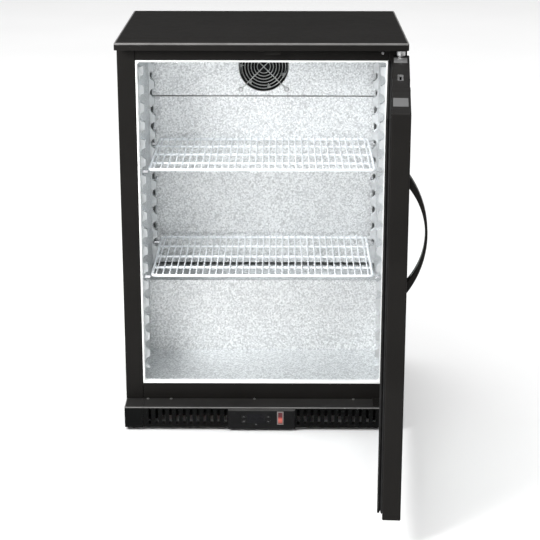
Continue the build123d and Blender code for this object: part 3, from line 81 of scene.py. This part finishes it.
def place(material, stretch=(1.0, 1.0, 1.0), turn=(0.0, 0.0, 0.0)):
    """Metres on the piece itself, stretched or turned for the grain."""
    coords = node(material, "TexCoord").outputs["Object"]
    mapping = node(material, "Mapping", {"Vector": coords, "Scale": stretch, "Rotation": turn})
    return mapping.outputs["Vector"]


def scaled(colour, factor):
    """A colour made darker or brighter, kept below white."""
    return tuple(min(1.0, factor * channel) for channel in colour)


def noise(material, per_metre, detail=2.0, distortion=0.0, where=None):
    """Cloudy pattern with this many lumps per metre."""
    made = node(material, "TexNoise", {
        "Vector": where or place(material), "Scale": per_metre, "Detail": detail,
        "Distortion": distortion})
    return made.outputs["Fac"]


def cells(material, per_metre, feature="F1", output="Distance", where=None):
    """Cell pattern with this many cells per metre."""
    made = node(material, "TexVoronoi", {"Vector": where or place(material), "Scale": per_metre},
                feature=feature)
    return made.outputs[output]


def ramp(material, factor, *stops):
    """Colours or grey levels along a factor, as (position, value) pairs."""
    made = node(material, "ValToRGB", {"Fac": factor})
    elements = made.color_ramp.elements
    while len(elements) < len(stops):
        elements.new(0.5)
    for element, (position, value) in zip(elements, stops):
        element.position = position
        element.color = (*value, 1.0) if isinstance(value, tuple) else (value, value, value, 1.0)
    return made.outputs["Color"]


def math_node(material, operation, *values):
    """One arithmetic step on values or outputs."""
    return node(material, "Math", dict(enumerate(values)), operation=operation).outputs["Value"]


def blend(material, factor, first, second, how="MIX"):
    """Blend two colours or patterns."""
    made = node(material, "Mix", {0: factor}, data_type="RGBA", blend_type=how)
    for index, value in ((6, first), (7, second)):
        if isinstance(value, bpy.types.NodeSocket):
            material.node_tree.links.new(value, made.inputs[index])
        else:
            made.inputs[index].default_value = (*value, 1.0)
    return made.outputs[2]


def feed(material, **sources):
    """Join outputs to the Principled shader's sockets."""
    principled = material.node_tree.nodes["Principled BSDF"]
    for key, source in sources.items():
        material.node_tree.links.new(source, principled.inputs[key.replace("_", " ").title()])


def relief(material, *layers):
    """Stack bump layers, each (height output, depth in metres), and join them to the shader."""
    normal = None
    for height, depth in layers:
        inputs = {"Height": height, "Distance": depth, "Strength": 1.0}
        if normal is not None:
            inputs["Normal"] = normal
        normal = node(material, "Bump", inputs).outputs["Normal"]
    feed(material, normal=normal)


def outer_edges(material, radius):
    """Near 1 on the sharp outer edges of a piece and 0 on its flats."""
    soft = node(material, "Bevel", {"Radius": radius}, samples=4).outputs["Normal"]
    true = node(material, "NewGeometry").outputs["Normal"]
    facing = node(material, "VectorMath", {0: soft, 1: true}, operation="DOT_PRODUCT")
    return math_node(material, "SUBTRACT", 1.0, facing.outputs["Value"])


# ------------------------------------------------------------------ finishes
def rim_line(material, half_width, front, top, radius):
    """1 close to the top edge along a piece's front and sides, and 0 away from it."""
    split = node(material, "SeparateXYZ", {0: node(material, "TexCoord").outputs["Object"]})
    x, y, z = (split.outputs[axis] for axis in "XYZ")
    rise = math_node(material, "POWER", math_node(material, "SUBTRACT", z, top), 2.0)
    reach = []
    for across in (math_node(material, "SUBTRACT", y, front),
                   math_node(material, "SUBTRACT", math_node(material, "ABSOLUTE", x), half_width)):
        reach.append(math_node(material, "SQRT", math_node(
            material, "ADD", math_node(material, "POWER", across, 2.0), rise)))
    nearest = math_node(material, "MINIMUM", *reach)
    return node(material, "MapRange", {"Value": nearest, 1: radius, 2: 0.7 * radius}).outputs[0]


def powder_coat(name, colour, roughness, peel=0.00005, edge_wear_and_sheen=0.02, rim=None, lit_top=None):
    """Satin powder coat: orange peel, faint wiping marks, and paler edges, partly rubbed wear and
    partly a painted highlight.
    """
    m = shader(name, ior=1.5, specular_ior_level=0.05)
    clouds = noise(m, 7.0, detail=4.0, distortion=0.6)
    shade = ramp(m, clouds, (0.3, scaled(colour, 0.86)), (0.7, scaled(colour, 1.16)))
    specks = noise(m, 1600.0, detail=1.0)
    fleck = ramp(m, specks, (0.35, scaled(colour, 0.7)), (0.7, scaled(colour, 1.5)))
    shade = blend(m, 0.25, shade, fleck)
    # Painted light: faces turned upwards blend towards a paler tone.
    if lit_top is not None:
        normal = node(m, "SeparateXYZ", {0: node(m, "TexCoord").outputs["Normal"]}).outputs["Z"]
        upward = node(m, "MapRange", {"Value": normal, 1: 0.6, 2: 0.95}).outputs[0]
        lit_top_tone = ramp(m, clouds, (0.3, scaled(lit_top, 0.85)), (0.7, scaled(lit_top, 1.15)))
        shade = blend(m, upward, shade, lit_top_tone)
    # Paler edges: partly rubbed wear, partly a painted highlight where rounded edges catch the
    # light.
    patchy = ramp(m, noise(m, 90.0, detail=4.0), (0.35, 0.25), (0.65, 1.0))
    worn_and_lit_edges = math_node(m, "MULTIPLY", patchy, ramp(
        m, outer_edges(m, 0.0016), (0.01, 0.0), (0.16, 1.0)))
    shade = blend(m, worn_and_lit_edges, shade, (edge_wear_and_sheen, 0.97 * edge_wear_and_sheen, 0.94 * edge_wear_and_sheen))
    # Painted highlight: a pale line along the top rim, where a rounded edge would catch the light.
    if rim is not None:
        shine, *edge = rim
        painted_rim_highlight = math_node(m, "MULTIPLY", rim_line(m, *edge), ramp(
            m, noise(m, 24.0, detail=4.0), (0.3, 0.72), (0.6, 1.0)))
        shade = blend(m, painted_rim_highlight, shade, (shine, 0.98 * shine, 0.96 * shine))
    marks = noise(m, 16.0, detail=5.0, distortion=1.4, where=place(m, (1.0, 1.0, 0.35)))
    feed(m, base_color=shade,
         roughness=ramp(m, marks, (0.3, roughness - 0.03), (0.7, roughness + 0.04)))
    relief(m, (noise(m, 420.0, detail=2.0), peel), (specks, 0.4 * peel))
    return m


def embossed_metal(name, colour, roughness, depth, pitch=260.0):
    """Stucco-embossed sheet: small raised pebbles on bright metal, with painted glints on some
    pebbles and painted shade between them.
    """
    m = shader(name, metallic=1.0)
    pebbles = cells(m, pitch, feature="SMOOTH_F1")
    glints = cells(m, 1.3 * pitch, output="Color")
    grey = node(m, "RGBToBW", {0: glints}).outputs[0]
    clouds = noise(m, 9.0, detail=4.0)
    # Painted shade: darker between the raised pebbles.
    shade = ramp(m, pebbles, (0.1, colour), (0.75, scaled(colour, 0.62)))
    # Painted glints: some pebbles paler at random, as if catching the light.
    glint = ramp(m, grey, (0.25, scaled(colour, 0.5)), (0.5, scaled(colour, 0.86)),
                 (0.75, scaled(colour, 1.2)))
    shade = blend(m, 0.5, shade, glint)
    shade = blend(m, 0.1, shade, ramp(m, clouds, (0.3, scaled(colour, 0.8)), (0.7, colour)))
    feed(m, base_color=shade,
         roughness=ramp(m, clouds, (0.3, roughness - 0.05), (0.7, roughness + 0.07)))
    relief(m, (pebbles, depth), (grey, 0.3 * depth))
    return m


def moulded_plastic(name, colour, roughness, grain=700.0, depth=0.00004, shine=0.3):
    """Spark-eroded moulding: fine even grain and slight mottling."""
    m = shader(name, ior=1.47, specular_ior_level=shine)
    clouds = noise(m, 12.0, detail=4.0, distortion=0.5)
    texture = cells(m, grain)
    shade = ramp(m, clouds, (0.3, scaled(colour, 0.9)), (0.7, scaled(colour, 1.08)))
    speckle = ramp(m, texture, (0.0, scaled(colour, 0.8)), (1.0, scaled(colour, 1.2)))
    feed(m, base_color=blend(m, 0.18, shade, speckle),
         roughness=ramp(m, clouds, (0.3, roughness - 0.05), (0.7, roughness + 0.06)))
    relief(m, (texture, depth))
    return m


def drawn_metal(name, colour, roughness, stretch=(1.0, 1.0, 1.0), depth=0.00002):
    """Bare or plated metal with drawing lines along one direction and faint tarnish."""
    m = shader(name, metallic=1.0)
    lines = noise(m, 900.0, detail=3.0, where=place(m, stretch))
    stain = noise(m, 30.0, detail=5.0, distortion=0.8)
    shade = ramp(m, stain, (0.3, scaled(colour, 0.78)), (0.65, colour))
    feed(m, base_color=shade,
         roughness=ramp(m, lines, (0.3, max(0.03, roughness - 0.08)), (0.7, roughness + 0.1)))
    relief(m, (lines, depth))
    return m


def zinc_sheet(name, colour, roughness):
    """Hot-dipped sheet with its frosted crystals."""
    m = shader(name, metallic=1.0)
    crystals = cells(m, 85.0, output="Color")
    clouds = ramp(m, noise(m, 10.0, detail=4.0), (0.3, scaled(colour, 0.82)), (0.7, colour))
    shade = blend(m, 0.28, clouds, crystals, how="SOFT_LIGHT")
    feed(m, base_color=shade, roughness=ramp(
        m, crystals, (0.2, roughness - 0.1), (0.8, roughness + 0.12)))
    relief(m, (noise(m, 600.0, detail=3.0), 0.00002))
    return m


def soft_rubber(name, colour, roughness):
    """Extruded vinyl or rubber: dull, faintly lined, with a little bloom."""
    m = shader(name, ior=1.45, specular_ior_level=0.08)
    bloom = noise(m, 40.0, detail=5.0, distortion=0.7)
    feed(m, base_color=ramp(m, bloom, (0.3, colour), (0.75, scaled(colour, 1.9))),
         roughness=ramp(m, bloom, (0.3, roughness - 0.06), (0.7, roughness + 0.08)))
    relief(m, (noise(m, 800.0, detail=3.0), 0.00004))
    return m


def window_glass(name):
    """Clear tempered pane with the faint green of its iron and a film of fingermarks."""
    m = shader(name, base_color=(0.93, 0.985, 0.965), transmission_weight=1.0, ior=1.5)
    film = noise(m, 22.0, detail=6.0, distortion=1.8)
    feed(m, roughness=ramp(m, film, (0.45, 0.0), (0.8, 0.07)))
    return m


COAT = (0.0095, 0.0089, 0.0083)

FINISH = {
    "black_coat": powder_coat("black_coat", COAT, 0.36),
    "galvanised": zinc_sheet("galvanised", (0.62, 0.64, 0.65), 0.4),
    "foam": moulded_plastic("foam", (0.80, 0.70, 0.42), 0.9, grain=900.0, depth=0.0002),
    "embossed_aluminium": embossed_metal("embossed_aluminium", (0.82, 0.84, 0.85), 0.5, 0.0005),
    "white_plastic": moulded_plastic("white_plastic", (0.86, 0.87, 0.86), 0.38),
    "sign_ink": moulded_plastic("sign_ink", (0.12, 0.12, 0.12), 0.5, depth=0.00001),
    "led_lens": moulded_plastic("led_lens", (0.062, 0.064, 0.066), 0.3, depth=0.00001),
    "coil_fins": powder_coat("coil_fins", (0.016, 0.016, 0.018), 0.4, edge_wear_and_sheen=0.05),
    "bare_fins": drawn_metal("bare_fins", (0.70, 0.71, 0.72), 0.4, (1.0, 1.0, 0.1)),
    "rail_metal": drawn_metal("rail_metal", (0.70, 0.72, 0.73), 0.45, (1.0, 1.0, 0.05)),
    "black_plastic": moulded_plastic("black_plastic", (0.006, 0.006, 0.0062), 0.42, shine=0.12),
    "coated_wire": moulded_plastic("coated_wire", (0.84, 0.87, 0.90), 0.24, grain=1200.0,
                                   depth=0.00001),
    "guard_wire": drawn_metal("guard_wire", (0.46, 0.47, 0.46), 0.32),
    "plated_steel": drawn_metal("plated_steel", (0.75, 0.76, 0.78), 0.22),
    "dulled_screw": drawn_metal("dulled_screw", (0.24, 0.235, 0.23), 0.42),
    "black_enamel": powder_coat("black_enamel", (0.008, 0.008, 0.008), 0.2, peel=0.00003),
    "black_rubber": soft_rubber("black_rubber", (0.012, 0.012, 0.012), 0.62),
    "copper": drawn_metal("copper", (0.80, 0.43, 0.27), 0.3),
    "button_face": moulded_plastic("button_face", (0.0095, 0.0095, 0.01), 0.4, depth=0.00001,
                                   shine=0.08),
    "switch_rim": moulded_plastic("switch_rim", (0.17, 0.145, 0.14), 0.4, shine=0.15),
    "window_glass": window_glass("window_glass"),
    "spacer_bar": drawn_metal("spacer_bar", (0.55, 0.56, 0.57), 0.4),
    "gasket": soft_rubber("gasket", (0.011, 0.011, 0.011), 0.6),
    "grey_plastic": moulded_plastic("grey_plastic", (0.11, 0.11, 0.11), 0.45),
    "steel": drawn_metal("steel", (0.66, 0.66, 0.66), 0.28),
    "nylon": moulded_plastic("nylon", (0.78, 0.77, 0.72), 0.42),
}


def lamp_cover():
    """Milky diffuser, lit from inside, a little brighter over each light source."""
    m = shader("lamp_cover", base_color=(0.93, 0.95, 0.97), roughness=0.35,
               emission_strength=2.5)
    wave = node(m, "TexWave", {"Vector": place(m), "Scale": 14.0, "Distortion": 0.0},
                bands_direction="X")
    feed(m, emission_color=ramp(m, wave.outputs["Fac"], (0.0, (0.86, 0.93, 1.0)),
                                (1.0, (1.0, 1.0, 1.0))))
    relief(m, (noise(m, 900.0), 0.00002))
    return m


def lit_rocker():
    """Translucent red paddle: dark above the pin, glowing towards its lower end."""
    low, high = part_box("rocker_paddle")
    m = shader("switch_red", roughness=0.22, ior=1.49, specular_ior_level=0.2,
               emission_strength=1.0)
    height = node(m, "SeparateXYZ", {0: node(m, "TexCoord").outputs["Object"]}).outputs["Z"]
    level = node(m, "MapRange", {"Value": height, 1: low.z, 2: high.z}).outputs[0]
    mottle = noise(m, 500.0, detail=3.0)
    feed(m, base_color=ramp(m, mottle, (0.3, (0.075, 0.018, 0.022)), (0.7, (0.105, 0.026, 0.03))),
         emission_color=ramp(m, level, (0.05, (0.30, 0.075, 0.045)), (0.3, (0.50, 0.105, 0.065)),
                             (0.46, (0.30, 0.04, 0.025)), (0.56, (0.012, 0.001, 0.001)),
                             (1.0, (0.006, 0.0, 0.0))))
    relief(m, (mottle, 0.00002))
    return m


def smoked_window():
    """Dark, slightly smudged window of the temperature display."""
    m = shader("display", ior=1.49, specular_ior_level=0.05)
    smudge = noise(m, 260.0, detail=4.0, distortion=1.2)
    feed(m, base_color=ramp(m, smudge, (0.35, (0.006, 0.006, 0.007)), (0.7, (0.014, 0.014, 0.016))),
         roughness=ramp(m, smudge, (0.35, 0.16), (0.7, 0.26)))
    return m


FINISH["lamp_cover"] = lamp_cover()
FINISH["switch_red"] = lit_rocker()
FINISH["display"] = smoked_window()


def rim_of(name, shine, radius):
    """How bright the painted rim highlight is, where the rim runs, and how wide it is."""
    low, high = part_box(name)
    return shine, high.x, low.y, high.z, radius


# The long top edges carry a painted highlight, paler than the rest of the coat, where their rounded
# edges would catch the light.
# Painted shade: the plinth coat is darker than the rest because the low front lies in shade.
SHADED_PLINTH_COAT = (0.0026, 0.0028, 0.0028)
# Paler tone for the ledge top: painted light from above.
LEDGE_TOP_LIGHT = (0.021, 0.0203, 0.0198)
panel_plastic = powder_coat("panel_plastic", (0.0085, 0.0085, 0.0088), 0.42, peel=0.00003,
                            rim=rim_of("control_housing", 0.045, 0.0042))
# Finishes that carry painted light: rim highlights, and for the plinth pieces painted shade and
# painted light on their tops.
PAINTED_LIGHT_FINISHES = {
    "worktop": powder_coat("worktop_coat", COAT, 0.32, rim=rim_of("worktop", 0.15, 0.0042)),
    "kick_grille": powder_coat("grille_coat", SHADED_PLINTH_COAT, 0.36, edge_wear_and_sheen=0.006, lit_top=LEDGE_TOP_LIGHT,
                               rim=rim_of("plinth_corners", 0.15, 0.0024)),
    "plinth_corners": powder_coat("corner_coat", SHADED_PLINTH_COAT, 0.36, edge_wear_and_sheen=0.006, lit_top=LEDGE_TOP_LIGHT,
                                  rim=rim_of("plinth_corners", 0.15, 0.0024)),
    "control_housing": panel_plastic,
}

for part in frame["record"]["subparts"]:
    finish = PAINTED_LIGHT_FINISHES.get(part["node"], FINISH[part["material_slot"]])
    slots = nodes[part["node"]].material_slots
    for index in range(len(slots)):
        slots[index].material = finish


# ------------------------------------------------------------------ modelled detail
# The door's own axes as it stands open: along the door, through it, and up.
HINGE = (0.285, -0.207, 0.0)
DOOR_ANGLE = 86.0
DOOR = Matrix.Translation(HINGE) @ Matrix.Rotation(math.radians(DOOR_ANGLE), 4, "Z")


def piece(name, mesh, body, finish):
    """Show a new mesh on one body of the refrigerator."""
    made = bpy.data.objects.new(name, mesh)
    bpy.context.scene.collection.objects.link(made)
    mesh.materials.append(finish)
    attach(made, body)
    return made


def smooth_outline(points, steps=4):
    """A closed outline drawn through the points without corners."""
    drawn = []
    count = len(points)
    for index in range(count):
        before, start, end, after = (Vector(points[(index + k) % count]) for k in (-1, 0, 1, 2))
        for step in range(steps):
            t = step / steps
            drawn.append(0.5 * (2 * start + (end - before) * t
                                + (2 * before - 5 * start + 4 * end - after) * t ** 2
                                + (3 * start - before - 3 * end + after) * t ** 3))
    return drawn


def framed_strip(name, section, centre, size, base):
    """Sweep a section round a mitred rectangle. Section points are (inward, outward) in mm."""
    mesh = bpy.data.meshes.new(name)
    bm = bmesh.new()
    rings = []
    for inward, outward in section:
        half_x, half_z = size[0] / 2 - inward, size[1] / 2 - inward
        rings.append([bm.verts.new((1e-3 * (centre[0] + sx * half_x), 1e-3 * (base + outward),
                                    1e-3 * (centre[1] + sz * half_z)))
                      for sx, sz in ((-1, -1), (1, -1), (1, 1), (-1, 1))])
    for index, ring in enumerate(rings):
        following = rings[(index + 1) % len(rings)]
        for corner in range(4):
            beyond = (corner + 1) % 4
            face = bm.faces.new((ring[corner], ring[beyond], following[beyond], following[corner]))
            face.smooth = True
            bm.edges.get((ring[corner], following[corner])).smooth = False
    bmesh.ops.recalc_face_normals(bm, faces=bm.faces)
    bm.to_mesh(mesh)
    bm.free()
    mesh.transform(DOOR)
    return mesh


# Door seal: barbed foot, two folds of bellows and the nose that holds the magnet.
SEAL = [
    (0.2, 0.1), (0.2, 2.4), (1.4, 3.2), (3.0, 3.3), (3.4, 4.2), (2.0, 4.9), (0.7, 5.6),
    (0.3, 7.2), (0.8, 9.0), (2.4, 9.4), (8.6, 9.4), (10.2, 8.9), (10.6, 7.2), (10.2, 5.7),
    (8.6, 5.0), (7.8, 4.2), (8.4, 3.4), (11.0, 3.3), (12.4, 4.6), (14.2, 5.3), (15.8, 4.3),
    (16.4, 2.8), (17.8, 1.8), (17.9, 0.1)]
SEAL_CENTRE = (-285.0, 440.0)
SEAL_SIZE = (574.0, 740.0)
SEAL_BASE = 16.5
seal_mesh = framed_strip("door_seal", smooth_outline(SEAL), SEAL_CENTRE, SEAL_SIZE, SEAL_BASE)
seal = piece("door_seal", seal_mesh, "door", FINISH["gasket"])
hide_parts("door_gasket")


def pan_head(name, centre, outward, radius, height, body, finish):
    """Domed screw head with a cross recess; centre is where it sits, outward is its axis."""
    rings, steps = 12, 48
    bm = bmesh.new()
    grid = []
    for ring in range(1, rings + 1):
        reach = ring / rings
        row = []
        for step in range(steps):
            angle = 2 * math.pi * step / steps
            x, y = reach * math.cos(angle), reach * math.sin(angle)
            lift = 0.35 + 0.65 * math.sqrt(max(0.0, 1.0 - reach ** 2.6))
            arm = min(abs(x), abs(y)) < 0.13 and reach < 0.62
            dip = 0.5 if arm else 0.0
            row.append(bm.verts.new((radius * x, radius * y, height * (lift - dip))))
        grid.append(row)
    middle = bm.verts.new((0.0, 0.0, 0.5 * height))
    foot = [bm.verts.new((v.co.x, v.co.y, 0.0)) for v in grid[-1]]
    for step in range(steps):
        beyond = (step + 1) % steps
        bm.faces.new((middle, grid[0][step], grid[0][beyond]))
        for inner, outer in zip(grid, grid[1:]):
            bm.faces.new((inner[step], outer[step], outer[beyond], inner[beyond]))
        bm.faces.new((grid[-1][step], foot[step], foot[beyond], grid[-1][beyond]))
    bm.faces.new(list(reversed(foot)))
    bmesh.ops.recalc_face_normals(bm, faces=bm.faces)
    mesh = bpy.data.meshes.new(name)
    bm.to_mesh(mesh)
    bm.free()
    turn = Vector(outward).to_track_quat("Z", "Y").to_matrix().to_4x4()
    mesh.transform(Matrix.Translation(centre) @ turn)
    return piece(name, mesh, body, FINISH[finish])


# Where each head sits, the way it points, its radius and height in mm, and its finish.
HEADS = [((x, -184.5, 55.0), (0, 0, 1), 3.2, 2.1, "dulled_screw")
         for x in (-252.0, -201.0, -17.0, 201.0)]
HEADS += [((250.0, -180.4, 822.0), (0, -1, 0), 3.4, 2.1, "dulled_screw")]
HEADS += [((x, 161.8, z), (0, -1, 0), 3.9, 2.3, "plated_steel")
          for x in (-249.5, 249.5) for z in (290.0, 470.0, 790.0)]
HEADS += [((x, 231.4, z), (0, 1, 0), 3.2, 1.1, "plated_steel")
          for x in (-280.0, 280.0) for z in (40.0, 210.0, 240.0, 820.0)]
for number, (centre, outward, radius, height, finish) in enumerate(HEADS, start=1):
    pan_head(f"screw_head_{number}", tuple(1e-3 * value for value in centre), outward,
             1e-3 * radius, 1e-3 * height, "cabinet", finish)


INK_THICKNESS = 0.00012


def printed_sign(name, outlines, centre, body):
    """Thin printed mark on a key; outlines are in mm across and up from the key's middle."""
    bm = bmesh.new()
    for outline in outlines:
        flat = [bm.verts.new((centre[0] + 1e-3 * x, centre[1], centre[2] + 1e-3 * z))
                for x, z in outline]
        face = bm.faces.new(flat)
        raised = bmesh.ops.extrude_face_region(bm, geom=[face])
        for vert in (v for v in raised["geom"] if isinstance(v, bmesh.types.BMVert)):
            vert.co.y -= INK_THICKNESS
    bmesh.ops.recalc_face_normals(bm, faces=bm.faces)
    mesh = bpy.data.meshes.new(name)
    bm.to_mesh(mesh)
    bm.free()
    return piece(name, mesh, body, FINISH["sign_ink"])


def arc_strips(radius, width, start, end, count):
    """Short flat quads that make up a ring or part of one."""
    strips = []
    for index in range(count):
        angles = [math.radians(start + (end - start) * (index + k) / count) for k in (0, 1)]
        strips.append([((radius + side) * math.cos(a), (radius + side) * math.sin(a))
                       for side, a in ((0.0, angles[0]), (width, angles[0]),
                                       (width, angles[1]), (0.0, angles[1]))])
    return strips


def led_dome(name, centre, radius, height, body):
    """Small round indicator lens standing proud of the control panel; centre is on its face."""
    bm = bmesh.new()
    steps, rings = 32, 8
    grid = []
    for ring in range(1, rings + 1):
        tilt = math.pi / 2 * ring / rings
        grid.append([bm.verts.new((
            centre[0] + radius * math.sin(tilt) * math.cos(2 * math.pi * step / steps),
            centre[1] - height * math.cos(tilt),
            centre[2] + radius * math.sin(tilt) * math.sin(2 * math.pi * step / steps)))
            for step in range(steps)])
    tip = bm.verts.new((centre[0], centre[1] - height, centre[2]))
    for step in range(steps):
        beyond = (step + 1) % steps
        bm.faces.new((tip, grid[0][step], grid[0][beyond])).smooth = True
        for inner, outer in zip(grid, grid[1:]):
            bm.faces.new((inner[step], outer[step], outer[beyond], inner[beyond])).smooth = True
    bm.faces.new(grid[-1])
    bmesh.ops.recalc_face_normals(bm, faces=bm.faces)
    mesh = bpy.data.meshes.new(name)
    bm.to_mesh(mesh)
    bm.free()
    return piece(name, mesh, body, FINISH["led_lens"])


LED_X, LED_Z = -0.0128, 0.017
LED_SUNK = 0.0001
LED_RADIUS, LED_RISE = 0.0019, 0.0006
led_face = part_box("display_window")[0].y + LED_SUNK
led_dome("status_light", (LED_X, led_face, LED_Z), LED_RADIUS, LED_RISE, "cabinet")

# Printed marks in mm from the middle of each key.
SIGN_GAP = 0.00001
SIGNS = {
    "button_1": [[(-2.4, -1.0), (0.0, 1.6), (2.4, -1.0), (1.5, -1.0), (0.0, 0.6), (-1.5, -1.0)]],
    "button_2": [[(x - 0.35, -1.7), (x + 0.35, -1.7), (x + 0.35, 1.7), (x - 0.35, 1.7)]
                 for x in (-1.6, 0.0, 1.6)],
    "button_3": arc_strips(1.3, 0.5, 120.0, 420.0, 14) + [
        [(-0.3, 0.6), (0.3, 0.6), (0.3, 2.1), (-0.3, 2.1)]],
    "button_4": [[(2.4, 1.0), (0.0, -1.6), (-2.4, 1.0), (-1.5, 1.0), (0.0, -0.6), (1.5, 1.0)]],
}
for number, (key, outlines) in enumerate(SIGNS.items(), start=1):
    low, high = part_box(key)
    middle = ((low.x + high.x) / 2, low.y - SIGN_GAP, (low.z + high.z) / 2)
    printed_sign(f"sign_{number}", outlines, middle, f"key_{number}")


# ------------------------------------------------------------------ floor, light and camera
def floor():
    """Wide pale floor."""
    mesh = bpy.data.meshes.new("studio_floor")
    reach = 30.0
    corners = [(-reach, -reach, 0), (reach, -reach, 0), (reach, reach, 0), (-reach, reach, 0)]
    mesh.from_pydata(corners, [], [(0, 1, 2, 3)])
    made = bpy.data.objects.new("studio_floor", mesh)
    bpy.context.scene.collection.objects.link(made)
    m = shader("pale_floor", roughness=0.6)
    feed(m, base_color=ramp(m, noise(m, 1.5, detail=3.0), (0.3, (0.88, 0.88, 0.88)),
                            (0.7, (0.9, 0.9, 0.9))))
    mesh.materials.append(m)


def area_light(name, position, target, size, power, colour=(1.0, 1.0, 1.0)):
    """Soft rectangular light aimed at a point."""
    lamp = bpy.data.lights.new(name, "AREA")
    lamp.shape = "RECTANGLE"
    lamp.size, lamp.size_y = size
    lamp.energy = power
    lamp.color = colour
    made = bpy.data.objects.new(name, lamp)
    made.location = position
    aim = Vector(target) - Vector(position)
    made.rotation_euler = aim.to_track_quat("-Z", "Y").to_euler()
    bpy.context.scene.collection.objects.link(made)


floor()
area_light("ceiling_softbox", (0.0, 1.75, 7.0), (0.0, 1.75, 0.0), (14.0, 16.5), 1480.0)
area_light("key_light", (-0.9, -1.5, 1.35), (0.0, -0.2, 0.95), (0.7, 0.5), 38.0)
area_light("fill_light", (1.6, -2.4, 1.7), (0.1, -0.3, 0.6), (0.8, 0.8), 8.0)
area_light("front_light", (-0.2, -3.0, 1.2), (0.0, 0.0, 0.1), (0.4, 0.4), 12.0)

# A narrow lamp just below and behind the diffuser, aimed at the floor of the cavity.
COOL_WHITE = (0.93, 0.97, 1.0)
lamp_low, lamp_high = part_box("light_diffuser")
lamp_place = (0.0, lamp_high.y + 0.01, lamp_low.z - 0.004)
lamp_target = (0.0, lamp_high.y + 0.12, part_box("inner_liner")[0].z)
area_light("cabinet_lamp", lamp_place, lamp_target, (0.44, 0.02), 0.3, COOL_WHITE)

WORLD_STRENGTH = 0.06
world = bpy.data.worlds.new("studio")
world.use_nodes = True
background = world.node_tree.nodes["Background"]
background.inputs["Color"].default_value = (1.0, 1.0, 1.0, 1.0)
background.inputs["Strength"].default_value = WORLD_STRENGTH
bpy.context.scene.world = world
bpy.context.scene.view_settings.view_transform = "Standard"

# Focal length and sensor in mm, place in metres, and degrees looking down and to the left.
FOCAL_LENGTH, SENSOR_WIDTH = 104.9, 36.0
CAMERA_PLACE = (0.0442, -3.4114, 1.3651)
CAMERA_DOWN, CAMERA_LEFT = 17.4, 0.48
lens = bpy.data.cameras.new("camera")
lens.lens = FOCAL_LENGTH
lens.sensor_width = SENSOR_WIDTH
camera = bpy.data.objects.new("camera", lens)
camera.location = CAMERA_PLACE
camera.rotation_euler = (math.radians(90.0 - CAMERA_DOWN), 0.0, math.radians(CAMERA_LEFT))
bpy.context.scene.collection.objects.link(camera)
bpy.context.scene.camera = camera
